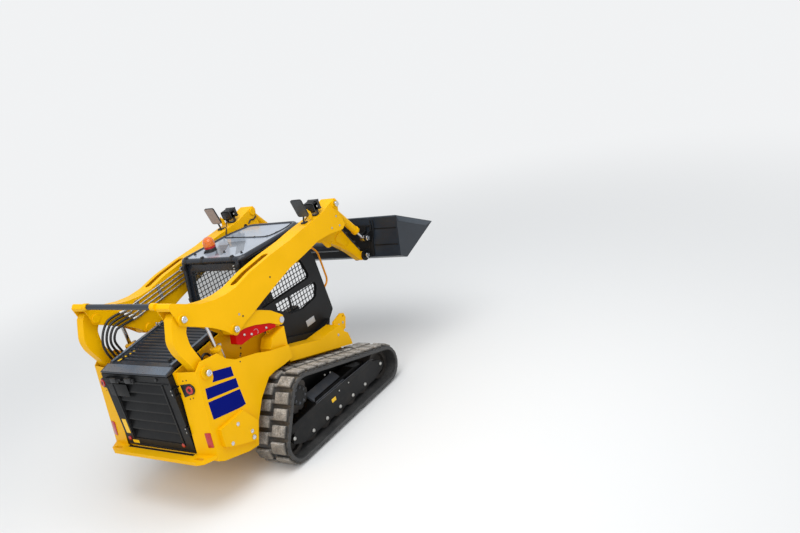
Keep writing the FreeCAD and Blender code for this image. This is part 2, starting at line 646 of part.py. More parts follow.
def roof_ring():
    """Tube round the roof."""
    spine = rounded_wire(ROOF_PLAN, 0)
    spine.rotate(V(0, 0, 0), V(1, 0, 0), -90)
    spine.translate(V(0, 0, RAIL_Z))
    last = spine.OrderedEdges[-1]
    start, end = last.Vertexes[0].Point, last.Vertexes[-1].Point
    middle = (start + end) * 0.5
    circle = Part.Wire(Part.makeCircle(RAIL_R, middle, end - start))
    halves = [Part.makeLine(middle, end), *spine.OrderedEdges[:-1], Part.makeLine(start, middle)]
    return Part.Wire(halves).makePipeShell([circle], True, False)


def rear_x(z):
    """Station of the cab's rear wall at a height above its bend."""
    return CAB_REAR + (z - REAR_BEND) / (CAB_EAVES - REAR_BEND) * (ROOF_REAR - CAB_REAR)


def make_cab_shell():
    inner = CAB_OUT - CAB_WALL
    side = cut(rounded_prism(CAB_SIDE, inner, CAB_OUT),
               [rounded_prism(WINDOW_UP, inner, CAB_OUT), rounded_prism(WINDOW_LOW, inner, CAB_OUT)])
    skirt = side_prism(SKIRT, CAB_OUT, SKIRT_OUT)
    export("cab_sides", pair(fuse([side, skirt])))
    mesh_y = CAB_OUT - MESH_INSET
    export("window_mesh", pair(lattice(WINDOW_UP, mesh_y)) + pair(lattice(WINDOW_LOW, mesh_y)))

    half, low, high = REAR_WINDOW
    wall_in = CAB_REAR + CAB_WALL
    profile = ((CAB_REAR, CAB_FLOOR), (CAB_REAR, REAR_BEND), (ROOF_REAR, CAB_EAVES),
               (ROOF_REAR + CAB_WALL, CAB_EAVES), (wall_in, REAR_BEND), (wall_in, CAB_FLOOR))
    rear = side_prism(profile, -inner, inner)
    rear = rear.cut(centred_box(CAB_REAR, ROOF_REAR + CAB_WALL, half, low, high))
    floor = centred_box(wall_in, CAB_SIDE[-1][0], inner, CAB_FLOOR, CAB_FLOOR + FLOOR_THICK)
    back, front = REAR_GLASS
    pane = side_prism(((rear_x(low) + back, low), (rear_x(high) + back, high), (rear_x(high) + front, high),
                       (rear_x(low) + front, low)), -half, half)
    export("rear_window", [pane])

    outward = POST_R - POST_SUNK
    posts = [rod(V(CAB_REAR - outward, y, REAR_BEND), V(ROOF_REAR - outward, y, RAIL_Z), POST_R)
             for y in (-POST_Y, POST_Y)]
    shell = rounded_prism(CAB_SIDE, -CAB_OUT - CAB_WALL, CAB_OUT + CAB_WALL)
    below = centred_box(CAB_REAR - CAB_WALL, CAB_REAR, CAB_OUT, CAB_FLOOR, REAR_BEND)
    ring = cut(fuse([roof_ring()] + posts), [shell, below])
    roof = plan_prism([(x, y) for x, y, _ in ROOF_PLAN], CAB_EAVES, ROOF_TOP).cut(ring)
    inside = max(roof.Solids, key=lambda solid: solid.Volume)
    export("cab_roof", [inside])
    export("cab_frame", [fuse([ring, rear, floor])])


# Seat and controls: boxes as (x from, x to, half width, z from, z to)
PAN_TOP, SHELL_FACE = 955.0, -580.0
SEAT_BASE = (-420.0, -80.0, 170.0, 740.0, 940.0)
SEAT_PAN = (-592.0, -20.0, 215.0, 940.0, PAN_TOP)
SEAT_SHELL = (-592.0, SHELL_FACE, 215.0, PAN_TOP, 1540.0)
CUSHION = (-470.0, -10.0, 235.0, PAN_TOP + SEAT, 1065.0)
BACKREST = (SHELL_FACE + SEAT, -475.0, 235.0, 1000.0, 1560.0)
CONSOLE_Y = 330.0
CONSOLE_PAD = (-440.0, 60.0, 55.0, 1110.0, 1170.0)
CONSOLE_LEG = (-300.0, -150.0, 40.0, 740.0, 1110.0)
LEVER = (0.0, 20.0, 1170.0, 1330.0)
LEVER_R = 14.0
KNOB_R = 27.0


def make_seat():
    export("seat_base", [fuse([centred_box(*SEAT_BASE), centred_box(*SEAT_PAN), centred_box(*SEAT_SHELL)])])
    export("seat_pads", [centred_box(*CUSHION), centred_box(*BACKREST)])
    x0, x1, z0, z1 = LEVER
    pieces = [centred_box(*CONSOLE_PAD), centred_box(*CONSOLE_LEG), rod(V(x0, 0, z0), V(x1, 0, z1), LEVER_R),
              Part.makeSphere(KNOB_R, V(x1, 0, z1))]
    console = fuse(pieces).translated(V(0, CONSOLE_Y, 0))
    export("control_consoles", pair(console))


HANDLE_R = 11.0
HANDLE_Y = -430.0
HANDLE = ((425, 1690), (480, 1676), (546, 1600), (562, 1420), (574, 1235), (460, 1180))


def make_handle():
    points = [V(x, HANDLE_Y, z) for x, z in HANDLE]
    bar = swept_tube(points, HANDLE_R)
    export("grab_handle", [bar.cut(rounded_prism(CAB_SIDE, -CAB_OUT, CAB_OUT))])


# Lift arms: side outline, and the leg that carries the bucket's coupler
ARM = ((-1788, 2018, 12), (-1755, 2056, 20), (-1617, 1986, 60), (-1451, 1907, 200), (-1298, 1869, 300),
       (-1143, 1853, 300), (-985, 1863, 300), (-757, 1918, 500), (-435, 1961, 0), (-103, 1988, 0),
       (77, 2016, 0), (443, 2055, 400), (745, 2143, 15), (775, 2100, 25), (748, 1990, 40), (797, 1817, 15),
       (739, 1779, 40), (510, 1811, 0), (295, 1816, 200), (46, 1770, 400), (-225, 1729, 0), (-501, 1653, 0),
       (-679, 1604, 0), (-856, 1548, 0), (-1024, 1502, 100), (-1167, 1434, 45), (-1284, 1549, 200),
       (-1404, 1640, 200), (-1538, 1718, 200), (-1740, 1825, 40), (-1758, 1917, 60))
ARM_SKIN = 10.0
ARM_DROPS = (0, 30, 60, 90, 120)         # the hollow, repeated downwards, opens the arm's underside
ARM_ENDS = (((600, 1700), (900, 1700), (900, 2181), (600, 2093)),       # outlines of the open ends
            ((-1900, 1700), (-1600, 1700), (-1600, 1985), (-1900, 1985)))
LEG = ((420, 1790, 0), (508, 1715, 60), (640, 1672, 80), (787, 1566, 150), (948, 1427, 100), (1105, 1256, 40),
       (1165, 1236, 50), (1224, 1290, 50), (1146, 1348, 40), (1018, 1545, 150), (928, 1696, 60),
       (900, 1780, 40), (740, 1830, 0))
CROSS_TUBE = (-1767.0, 2028.0)
CROSS_TUBE_R = 27.5
COLLAR_R = 36.0
TORQUE_TUBE = (900.0, 1515.0)
TORQUE_TUBE_R = 55.0
SLOT = (-920.0, -430.0, 600.0, 675.0)
SLOT_Z = (1800.0, 2100.0)
BOSS = 6.0
LEG_BOSS_R, LEG_BOSS = 50.0, 8.0
COLLAR_LENGTH = 60.0


def make_arms():
    outer = rounded_prism(ARM, ARM_IN, ARM_OUT)
    face = Part.Face(rounded_wire(ARM, ARM_IN + ARM_SKIN)).makeOffset2D(-ARM_SKIN)
    inner = face.extrude(V(0, ARM_OUT - ARM_IN - 2 * ARM_SKIN, 0))
    y0, y1 = ARM_IN + ARM_SKIN, ARM_OUT - ARM_SKIN
    openings = [inner.translated(V(0, 0, -drop)) for drop in ARM_DROPS]
    openings += [side_prism(outline, y0, y1) for outline in ARM_ENDS]
    x0, x1, slot_in, slot_out = SLOT
    radius = (slot_out - slot_in) / 2
    middle = (slot_out + slot_in) / 2
    low, high = SLOT_Z
    openings.append(box(x0, x1, slot_in, slot_out, low, high))
    openings += [Part.makeCylinder(radius, high - low, V(x, middle, low)) for x in (x0, x1)]
    shell = cut(outer, openings)
    bosses = []
    bores = []
    for place in (PIN_REAR_ARM, PIN_FRONT_ARM, PIN_TILT_BASE):
        bosses.append(cross_pin(place, BOSS_R, ARM_OUT, ARM_OUT + BOSS))
        bores.append(cross_pin(place, PIN_R, ARM_IN, ARM_OUT + BOSS))
    leg = rounded_prism(LEG, LEG_IN, LEG_OUT)
    leg = leg.fuse(cross_pin(PIN_BUCKET, LEG_BOSS_R, LEG_IN, LEG_OUT + LEG_BOSS))
    bores.append(cross_pin(PIN_BUCKET, PIN_R, LEG_IN, LEG_OUT + LEG_BOSS))
    collar = cross_pin(CROSS_TUBE, COLLAR_R, ARM_IN - COLLAR_LENGTH, ARM_IN)
    arm = cut(fuse([shell, leg, collar] + bosses), bores)
    export("lift_arms", pair(arm))
    tube = cross_pin(TORQUE_TUBE, TORQUE_TUBE_R, -LEG_IN, LEG_IN)
    rear = cross_pin(CROSS_TUBE, CROSS_TUBE_R, -(ARM_IN - COLLAR_LENGTH), ARM_IN - COLLAR_LENGTH)
    export("arm_cross_tubes", [tube, rear])
    pins = []
    for place in (PIN_REAR_ARM, PIN_FRONT_ARM, PIN_TILT_BASE):
        pins += pair(cross_pin(place, PIN_R, ARM_IN, ARM_OUT + PIN_HEAD))
    export("arm_pins", pins)


# Links between frame and arms
FRONT_LINK = ((-1218, 1452, 55), (-1222, 1566, 55), (-1000, 1590, 150), (-783, 1524, 200), (-640, 1450, 150),
              (-500, 1335, 40), (-508, 1258, 45), (-560, 1250, 30), (-701, 1341, 60), (-894, 1415, 100),
              (-1025, 1449, 200))
REAR_LINK = ((-1640, 1268, 45), (-1610, 1330, 50), (-1640, 1460, 150), (-1693, 1614, 200), (-1688, 1733, 100),
             (-1622, 1830, 60), (-1640, 1935, 60), (-1735, 1950, 60), (-1790, 1905, 60), (-1862, 1703, 200),
             (-1840, 1592, 200), (-1756, 1425, 100), (-1712, 1270, 45))
LOCK = ((-1177, 1352, 10), (-1124, 1318, 10), (-962, 1322, 0), (-632, 1262, 10), (-628, 1300, 5),
        (-701, 1365, 0), (-894, 1435, 0), (-1025, 1465, 0), (-1150, 1465, 10))


def make_links():
    front = rounded_prism(FRONT_LINK, LINK_IN, LINK_OUT)
    bores = [cross_pin(place, PIN_R + FIT, LINK_IN, LINK_OUT) for place in (PIN_FRONT_ARM, PIN_FRONT_FRAME)]
    front = cut(front, bores)
    export("front_links", pair(front))
    rear = rounded_prism(REAR_LINK, LINK_IN, LINK_OUT)
    rear = cut(rear, [cross_pin(PIN_REAR_ARM, PIN_R + FIT, LINK_IN, LINK_OUT)])
    foot = cross_pin(PIN_REAR_FRAME, PIN_R, LINK_OUT, LINK_OUT + POD_BOSS)
    link = rear.fuse(foot)
    export("rear_links", [link.fuse(hose_block()), mirrored(link)])
    lock = rounded_prism(LOCK, LINK_IN + PLATE, LINK_OUT - PLATE)
    export("arm_lock", [mirrored(lock.cut(front))])


# Cylinders: barrels, rods and their eyes
LIFT_BARREL_R = 45.0
LIFT_BARREL_LENGTH = 770.0
LIFT_ROD_R = 20.0
LIFT_ROD_LENGTH = 700.0
TILT_BARREL_R = 42.0
TILT_BARREL_LENGTH = 590.0
TILT_ROD_R = 20.0
TILT_ROD_LENGTH = 520.0
EYE_R = 36.0
LIFT_EYE_R = 40.0
EYE_WIDTH = 44.0
GLAND = 30.0


def cylinder(base, eye, y, radius, length, rod_radius, rod_length, base_radius):
    """Barrel and rod of a cylinder, from its base pin to its rod's eye."""
    start = V(base[0], y, base[1])
    end = V(eye[0], y, eye[1])
    way = (end - start).normalize()
    half = EYE_WIDTH / 2
    barrel = rod(start + way * (EYE_R - 6), start + way * length, radius)
    gland = rod(start + way * (length - GLAND), start + way * length, radius + 7)
    base_eye = cross_pin(base, base_radius, y - half, y + half)
    bore = rod(start + way * (EYE_R + 40), start + way * (length + 1), rod_radius + FIT)
    hole = cross_pin(base, PIN_R + FIT, y - half, y + half)
    body = cut(fuse([barrel, gland, base_eye]), [bore, hole])
    rod_eye = cross_pin(eye, EYE_R, y - half, y + half)
    shaft = rod(end - way * rod_length, end, rod_radius)
    return body, fuse([shaft, rod_eye])


def make_cylinders():
    body, piston = cylinder(PIN_LIFT_BASE, PIN_LIFT_EYE, LIFT_Y, LIFT_BARREL_R, LIFT_BARREL_LENGTH,
                            LIFT_ROD_R, LIFT_ROD_LENGTH, LIFT_EYE_R)
    export("lift_barrels", pair(body))
    export("lift_rods", pair(piston))
    body, piston = cylinder(PIN_TILT_BASE, PIN_TILT_EYE, TILT_Y, TILT_BARREL_R, TILT_BARREL_LENGTH,
                            TILT_ROD_R, TILT_ROD_LENGTH, EYE_R)
    export("tilt_barrels", pair(body))
    export("tilt_rods", pair(piston))


# Coupler and bucket
BACK_LOW, BACK_HIGH = (1239.0, 1240.0), (1347.0, 1692.0)
HEEL = (1350.0, 1178.0)
LIP = (2012.0, 1368.0)
BUCKET_HALF = 1020.0
SHELL = 10.0
SIDE_PLATE = 14.0
COUPLER_HALF = 655.0
COUPLER_PLATE = 18.0
COUPLER_LOW, COUPLER_HIGH = 1262.0, 1610.0
EAR_NECK, EAR_ROOT = 34.0, 60.0
EAR_R, BUCKET_EAR_R = 40.0, 60.0       # round the tilt rod's eye, round the bucket's pin
TILT_WINDOW = (1450.0, 1590.0, 27.0)
COUPLER_EARS = ((432.0, 450.0), (552.0, 572.0), (628.0, 648.0))


def back_x(z):
    """Station of the bucket's back plate at a height."""
    share = (z - BACK_LOW[1]) / (BACK_HIGH[1] - BACK_LOW[1])
    return BACK_LOW[0] + share * (BACK_HIGH[0] - BACK_LOW[0])


def make_bucket():
    outline = (BACK_LOW, BACK_HIGH, LIP, HEEL)
    solid = side_prism(outline, -BUCKET_HALF, BUCKET_HALF)
    inner = ((BACK_LOW[0] + 14, BACK_LOW[1] + 4), (BACK_HIGH[0] + SHELL, BACK_HIGH[1] + 8),
             (LIP[0] + 20, LIP[1] + 16), (HEEL[0] + 2, HEEL[1] + 11))
    hollow = side_prism(inner, -BUCKET_HALF + SIDE_PLATE, BUCKET_HALF - SIDE_PLATE)
    export("bucket", [solid.cut(hollow)])

    def slab(z0, z1, back, front, y0, y1):
        return side_prism(((back_x(z0) - back, z0), (back_x(z1) - back, z1), (back_x(z1) - front, z1),
                           (back_x(z0) - front, z0)), y0, y1)

    plate = slab(COUPLER_LOW, COUPLER_HIGH, COUPLER_PLATE, 0, -COUPLER_HALF, COUPLER_HALF)
    low, high, half = TILT_WINDOW
    windows = [slab(low, high, COUPLER_PLATE + 1, -1, side * TILT_Y - half, side * TILT_Y + half)
               for side in (1, -1)]
    ears = []
    for y0, y1 in COUPLER_EARS:
        places = []
        if y0 >= LEG_IN:
            places.append((*PIN_TILT_EYE, EAR_R))
        if y0 <= TILT_Y:
            places.append((*PIN_BUCKET, BUCKET_EAR_R))
        for x, z, radius in places:
            root_low, root_high = z - EAR_ROOT, z + EAR_ROOT
            web = ((x, z - EAR_NECK), (back_x(root_low) - 6, root_low), (back_x(root_high) - 6, root_high),
                   (x, z + EAR_NECK))
            ears += pair(fuse([side_prism(web, y0, y1), cross_pin((x, z), radius, y0, y1)]))
    pins = pair(cross_pin(PIN_BUCKET, PIN_R - FIT, COUPLER_EARS[0][0], COUPLER_EARS[1][1] + PIN_HEAD))
    export("bucket_coupler", [fuse([cut(fuse([plate] + ears), windows)] + pins)])


# Hydraulic pipes along the left arm, and the hoses that loop down behind it
PIPE_Y = 518.0
PIPE_R = 8.0
PIPE_PITCH = 45.0
PIPE_TOP = ((-1390, 1801), (-1252, 1816), (-616, 1886), (300, 1965))
PIPE_STEP = 40.0
PIPE_CLAMPS = (-1210.0, -900.0, -250.0)
CLAMP_HALF = 18.0
HOSE_COUNT = 4
HOSE_R = 12.5
HOSE_CENTRE = (-1480.0, 1577.0)
HOSE_BEND, HOSE_BEND_STEP = 255.0, 47.0
HOSE_LOW_Y = 552.0
HOSE_TURNS = ((110, 0.0), (135, 0.0), (160, 0.3), (185, 0.7), (212, 1.0))    # angle, share of the way outward
HOSE_END, HOSE_END_STEP = -1620.0, 46.0
BLOCK_X0, BLOCK_X1, BLOCK_Z0, BLOCK_Z1 = -1700.0, -1450.0, 1262.0, 1296.0
BLOCK_FOOT = -1645.0
BLOCK_WIDTH = 34.0


def pipe_points(number):
    """Points of one pipe, from its hose end to the front."""
    first_x, first_z = PIPE_TOP[0]
    drop = number * PIPE_PITCH
    points = [V(first_x + number * PIPE_STEP, PIPE_Y, first_z + number * PIPE_STEP * 0.11 - drop)]
    return points + [V(x, PIPE_Y, z - drop) for x, z in PIPE_TOP[1:]]


def hose_points(number):
    """Route of one hose: from its pipe, round the loop and down to the block on the rear link."""
    start = pipe_points(number)[0]
    bend = HOSE_BEND - number * HOSE_BEND_STEP
    points = [start]
    for angle, share in HOSE_TURNS:
        way = unit(math.radians(angle)) * bend
        y = PIPE_Y + share * (HOSE_LOW_Y - PIPE_Y)
        points.append(V(HOSE_CENTRE[0] + way.x, y, HOSE_CENTRE[1] + way.z))
    end_x = HOSE_END + number * HOSE_END_STEP
    points.append(V((points[-1].x + end_x) / 2 - 8, HOSE_LOW_Y, (points[-1].z + BLOCK_Z1) / 2))
    points.append(V(end_x, HOSE_LOW_Y, BLOCK_Z1))
    return points


def smooth_path(points):
    """Straight runs joined by tangent arcs, each as large as its two runs allow."""
    edges = []
    radii = []
    last = points[0]
    for before, here, after in zip(points, points[1:], points[2:]):
        to_before = (before - here).normalize()
        to_after = (after - here).normalize()
        half_turn = (math.pi - to_before.getAngle(to_after)) / 2
        reach = 0.45 * min((before - here).Length, (after - here).Length)
        radius = reach / math.tan(half_turn)
        start = here + to_before * reach
        end = here + to_after * reach
        middle = here + (to_before + to_after).normalize() * (radius / math.cos(half_turn) - radius)
        edges.append(Part.LineSegment(last, start).toShape())
        edges.append(Part.Arc(start, middle, end).toShape())
        radii.append(round(radius))
        last = end
    edges.append(Part.LineSegment(last, points[-1]).toShape())
    return Part.Wire(edges), radii


def swept_tube(points, radius):
    path, radii = smooth_path(points)
    circle = Part.Wire(Part.makeCircle(radius, points[0], points[1] - points[0]))
    tube = path.makePipeShell([circle], True, False)
    share = tube.Volume / (math.pi * radius ** 2 * path.Length)
    print("tube length", round(path.Length), "bends", radii, "volume share", round(share, 4))
    return tube


def hose_block():
    """Bar on the left rear link's foot that holds the hoses' ends and passes inside the lift cylinder."""
    inner = HOSE_LOW_Y - HOSE_R
    bar = box(BLOCK_X0, BLOCK_X1, inner, inner + BLOCK_WIDTH, BLOCK_Z0, BLOCK_Z1)
    return bar.fuse(box(BLOCK_X0, BLOCK_FOOT, inner, LINK_IN, BLOCK_Z0, BLOCK_Z1))


def make_pipes():
    pipes = []
    for number in range(HOSE_COUNT):
        points = pipe_points(number)
        runs = [rod(start, end, PIPE_R) for start, end in zip(points, points[1:])]
        hose = cut(swept_tube(hose_points(number), HOSE_R), [runs[0], hose_block()])
        export("arm_hose_" + str(number + 1), [hose])
        pipes += runs + [Part.makeSphere(PIPE_R, point) for point in points[1:-1]]
    for x in PIPE_CLAMPS:
        share = (x - PIPE_TOP[1][0]) / (PIPE_TOP[2][0] - PIPE_TOP[1][0])
        top = PIPE_TOP[1][1] + share * (PIPE_TOP[2][1] - PIPE_TOP[1][1]) + 2 * PIPE_R
        low = top - (HOSE_COUNT - 1) * PIPE_PITCH - 4 * PIPE_R
        pipes.append(box(x - CLAMP_HALF, x + CLAMP_HALF, PIPE_Y - 2, ARM_IN, low, top))
    export("arm_pipes", [fuse(pipes)])


def main():
    os.makedirs("parts", exist_ok=True)
    make_tracks()
    make_running_gear()
    make_tub()
    make_pods()
    make_front_frame()
    make_frame_pins()
    make_rear()
    make_hood()
    make_lamps()
    make_cab_shell()
    make_seat()
    make_handle()
    make_arms()
    make_links()
    make_cylinders()
    make_bucket()
    make_pipes()


main()
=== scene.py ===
"""Looks of the compact track loader: finishes, hoses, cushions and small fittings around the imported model.
Metres, +X forward, +Y left, +Z up, tracks on z = 0."""
import json
import math

import bmesh
import bpy
from mathutils import Matrix, Vector


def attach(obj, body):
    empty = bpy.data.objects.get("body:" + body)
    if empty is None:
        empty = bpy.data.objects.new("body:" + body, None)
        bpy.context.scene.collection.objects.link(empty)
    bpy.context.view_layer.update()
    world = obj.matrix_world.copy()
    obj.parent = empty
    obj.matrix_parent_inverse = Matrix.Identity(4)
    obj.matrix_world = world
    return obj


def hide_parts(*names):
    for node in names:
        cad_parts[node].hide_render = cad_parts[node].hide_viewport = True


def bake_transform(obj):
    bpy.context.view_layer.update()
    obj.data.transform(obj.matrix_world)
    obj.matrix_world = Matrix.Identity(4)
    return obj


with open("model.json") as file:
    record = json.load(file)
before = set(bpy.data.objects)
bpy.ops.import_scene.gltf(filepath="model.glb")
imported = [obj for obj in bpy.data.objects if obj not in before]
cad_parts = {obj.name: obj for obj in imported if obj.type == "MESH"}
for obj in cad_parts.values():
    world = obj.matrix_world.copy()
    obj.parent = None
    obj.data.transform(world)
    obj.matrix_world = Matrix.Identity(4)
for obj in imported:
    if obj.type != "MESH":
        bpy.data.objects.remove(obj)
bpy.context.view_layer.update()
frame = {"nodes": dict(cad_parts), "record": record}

X, Y, Z = Vector((1, 0, 0)), Vector((0, 1, 0)), Vector((0, 0, 1))
SIDES = (1, -1)                     # left, right
SIDE_NAMES = {1: "left", -1: "right"}

# Places in the side view, (x, z)
PIN_REAR_FRAME = (-1.675, 1.325)
PIN_REAR_ARM = (-1.697, 1.870)
PIN_FRONT_ARM = (-1.168, 1.509)
PIN_FRONT_FRAME = (-0.538, 1.299)
PIN_TILT_BASE = (0.717, 2.083)
PIN_TILT_EYE = (1.190, 1.495)
PIN_BUCKET = (1.172, 1.290)

# Stations of the faces: across the machine, and along it for the door
POD_SKIN, COVER_FACE = 0.750, 0.790
ARM_IN, ARM_OUT = 0.535, 0.722
TRACK_FRAME_FACE, CAB_FACE = 0.905, 0.450
DOOR_FACE = -1.891

# Camera: its place, the direction that it looks back along, and its roll
CAMERA_PLACE = Vector((-6.16514, -6.68087, 4.13291))
CAMERA_BACK = Vector((-0.75300, -0.58147, 0.30802))
CAMERA_ROLL = math.radians(-15.389)
CAMERA_LENS, CAMERA_SENSOR = 38.29, 36.0


def add_object(name, data):
    obj = bpy.data.objects.new(name, data)
    bpy.context.scene.collection.objects.link(obj)
    return obj


def make_camera():
    back = CAMERA_BACK.normalized()
    right = Z.cross(back).normalized()
    up = back.cross(right)
    cos, sin = math.cos(CAMERA_ROLL), math.sin(CAMERA_ROLL)
    rotation = Matrix((right * cos + up * sin, up * cos - right * sin, back)).transposed()
    data = bpy.data.cameras.new("camera")
    data.lens, data.sensor_width = CAMERA_LENS, CAMERA_SENSOR
    camera = add_object("camera", data)
    camera.matrix_world = Matrix.Translation(CAMERA_PLACE) @ rotation.to_4x4()
    bpy.context.scene.camera = camera


# Materials

class Tree:
    """A node tree with short calls for the nodes used here."""

    def __init__(self, owner, output):
        owner.use_nodes = True
        self.tree = owner.node_tree
        self.tree.nodes.clear()
        self.surface = self.add(output).inputs["Surface"]

    def feed(self, target, value):
        """Puts a number, a colour or another node's output on an input."""
        if isinstance(value, bpy.types.NodeSocket):
            self.tree.links.new(value, target)
        elif target.type == "RGBA":
            target.default_value = (*value, 1.0)
        else:
            target.default_value = value

    def add(self, kind, inputs=(), **settings):
        node = self.tree.nodes.new(kind)
        for key, value in settings.items():
            setattr(node, key, value)
        for key, value in dict(inputs).items():
            self.feed(node.inputs[key], value)
        return node

    def math(self, operation, first, second):
        return self.add("ShaderNodeMath", {0: first, 1: second}, operation=operation).outputs[0]

    def blend(self, share, first, second):
        """Two shaders, mixed."""
        return self.add("ShaderNodeMixShader", {"Fac": share, 1: first, 2: second}).outputs["Shader"]


class Finish(Tree):
    """A material round one shader."""

    def __init__(self, name):
        self.material = bpy.data.materials.new(name)
        super().__init__(self.material, "ShaderNodeOutputMaterial")
        self.shader = self.add("ShaderNodeBsdfPrincipled")
        self.feed(self.surface, self.shader.outputs["BSDF"])
        self.place = self.add("ShaderNodeTexCoord").outputs["Object"]

    def set(self, **values):
        """Numbers, colours and other nodes' outputs on the shader's own inputs."""
        for key, value in values.items():
            self.feed(self.shader.inputs[key.replace("_", " ")], value)

    def noise(self, scale, detail=3.0, rough=0.5):
        inputs = {"Scale": scale, "Detail": detail, "Roughness": rough, "Vector": self.place}
        return self.add("ShaderNodeTexNoise", inputs).outputs["Fac"]

    def ramp(self, source, low, high, out_low=0.0, out_high=1.0):
        inputs = {"Value": source, "From Min": low, "From Max": high, "To Min": out_low, "To Max": out_high}
        return self.add("ShaderNodeMapRange", inputs).outputs["Result"]

    def mix(self, share, first, second):
        """Two colours, mixed: inputs 6 and 7 and output 2 of the node are its colours."""
        inputs = {"Factor": share, 6: first, 7: second}
        return self.add("ShaderNodeMix", inputs, data_type="RGBA").outputs[2]

    def upward(self, vector):
        return self.add("ShaderNodeSeparateXYZ", {"Vector": vector}).outputs["Z"]

    def height(self, low, high):
        """1 below a height, 0 above another."""
        return self.ramp(self.upward(self.place), low, high, 1.0, 0.0)

    def facing_up(self):
        return self.ramp(self.upward(self.add("ShaderNodeNewGeometry").outputs["Normal"]), 0.2, 0.95)

    def relief(self, source, strength, distance, round_edges=0.0):
        inputs = {"Strength": strength, "Distance": distance, "Height": source}
        if round_edges:
            bevel = self.add("ShaderNodeBevel", {"Radius": round_edges}, samples=4)
            inputs["Normal"] = bevel.outputs["Normal"]
        self.set(Normal=self.add("ShaderNodeBump", inputs).outputs["Normal"])


DUST = (0.36, 0.27, 0.18)


def paint(name, color, rough, coat, spread, dust, dust_top=0.9, shine=0.3):
    """Sprayed paint: uneven colour and gloss, orange peel, and dust that thins out with height."""
    n = Finish(name)
    darker = tuple(c * (1 - 2.2 * spread) for c in color)
    lighter = tuple(min(1.0, c * (1 + 1.6 * spread) + 0.002) for c in color)
    base = n.mix(n.ramp(n.noise(3.0, 4.0), 0.3, 0.7), darker, lighter)
    low = n.math("MULTIPLY", n.height(0.1, dust_top), n.ramp(n.noise(9.0, 6.0, 0.65), 0.42, 0.72))
    top = n.math("MULTIPLY", n.facing_up(), n.ramp(n.noise(5.0, 5.0, 0.6), 0.4, 0.8, 0.0, 0.22))
    dirt = n.math("MULTIPLY", n.math("MAXIMUM", low, top), dust)
    gloss = n.ramp(n.noise(60.0), 0.3, 0.7, rough - 0.05, rough + 0.06)
    n.set(Base_Color=n.mix(dirt, base, DUST), Roughness=n.math("ADD", gloss, n.math("MULTIPLY", dirt, 0.5)),
          Specular_IOR_Level=shine, Coat_Weight=coat, Coat_Roughness=0.12)
    n.relief(n.noise(240.0, 2.0), 0.12, 0.001, 0.003)
    return n.material


def plain(name, color, rough, metallic, spread, grain, bump, more=()):
    """A material with fine grain and slight unevenness of colour and gloss."""
    n = Finish(name)
    base = n.mix(n.ramp(n.noise(14.0, 5.0, 0.6), 0.3, 0.7), tuple(c * (1 - spread) for c in color),
                 tuple(min(1.0, c * (1 + spread)) for c in color))
    gloss = n.ramp(n.noise(grain / 3, 4.0), 0.3, 0.7, max(0.02, rough - 0.06), rough + 0.06)
    n.set(Base_Color=base, Roughness=gloss, Metallic=metallic, **dict(more))
    n.relief(n.noise(grain), bump, 0.0008, 0.0015)
    return n.material


def rubber_material():
    """Track rubber: black in the recesses, with pale dust where the mesh's wear attribute says; upward faces
    of the dusty tips are paler still, a painted reflection of the sky.
    """
    n = Finish("track_rubber")
    worn = n.ramp(n.noise(9.0, 7.0, 0.7), 0.36, 0.62, 0.45, 1.0)
    specks = n.ramp(n.noise(60.0, 6.0, 0.75), 0.4, 0.62, 0.6, 1.0)
    wear = n.add("ShaderNodeAttribute", attribute_name="wear").outputs["Fac"]
    dust = n.math("MULTIPLY", n.math("MULTIPLY", worn, specks), wear)
    # Upward faces mixed towards pale grey: a painted reflection of the sky on the lug tips.
    sky = n.math("MULTIPLY", n.facing_up(), n.ramp(n.noise(30.0, 5.0, 0.7), 0.35, 0.6, 0.35, 1.0))
    tip_dust_and_painted_reflection = n.mix(sky, (0.30, 0.265, 0.22), (0.62, 0.60, 0.56))
    n.set(Base_Color=n.mix(dust, (0.010, 0.0115, 0.014), tip_dust_and_painted_reflection), Roughness=n.ramp(wear, 0.1, 0.9, 0.40, 0.85))
    n.relief(n.noise(90.0, 6.0, 0.7), 0.5, 0.003, 0.006)
    return n.material


def glass_material():
    n = Finish("window_glass")
    n.set(Base_Color=(0.05, 0.06, 0.065), IOR=1.45, Alpha=0.25,
          Roughness=n.ramp(n.noise(5.0, 4.0), 0.3, 0.8, 0.03, 0.11))
    return n.material


def lens_material(name, color):
    """Moulded lamp lens with fine ribs."""
    n = Finish(name)
    wave = n.add("ShaderNodeTexWave", {"Scale": 55.0, "Vector": n.place}, wave_type="BANDS",
                 bands_direction="Z").outputs["Fac"]
    n.set(Base_Color=n.mix(wave, tuple(c * 0.75 for c in color), color), Roughness=0.15, Coat_Weight=0.6,
          Transmission_Weight=0.15)
    n.relief(wave, 0.25, 0.001)
    return n.material


def vinyl_material():
    n = Finish("seat_vinyl")
    cells = n.add("ShaderNodeTexVoronoi", {"Scale": 420.0, "Vector": n.place})
    base = n.mix(n.ramp(n.noise(12.0, 4.0), 0.3, 0.7), (0.018, 0.018, 0.02), (0.035, 0.035, 0.038))
    n.set(Base_Color=base, Roughness=0.55, Sheen_Weight=0.1)
    n.relief(cells.outputs["Distance"], 0.35, 0.0006)
    return n.material


def hose_material():
    """Braided hose cover: fine wound ribs in black rubber."""
    n = Finish("hose_rubber")
    base = n.mix(n.ramp(n.noise(30.0, 4.0), 0.3, 0.7), (0.008, 0.008, 0.009), (0.022, 0.022, 0.022))
    n.set(Base_Color=base, Roughness=n.ramp(n.noise(70.0), 0.3, 0.7, 0.28, 0.42))
    n.relief(n.noise(500.0, 2.0), 0.3, 0.0006)
    return n.material


SEEN_SKY = (0.88, 0.89, 0.90)
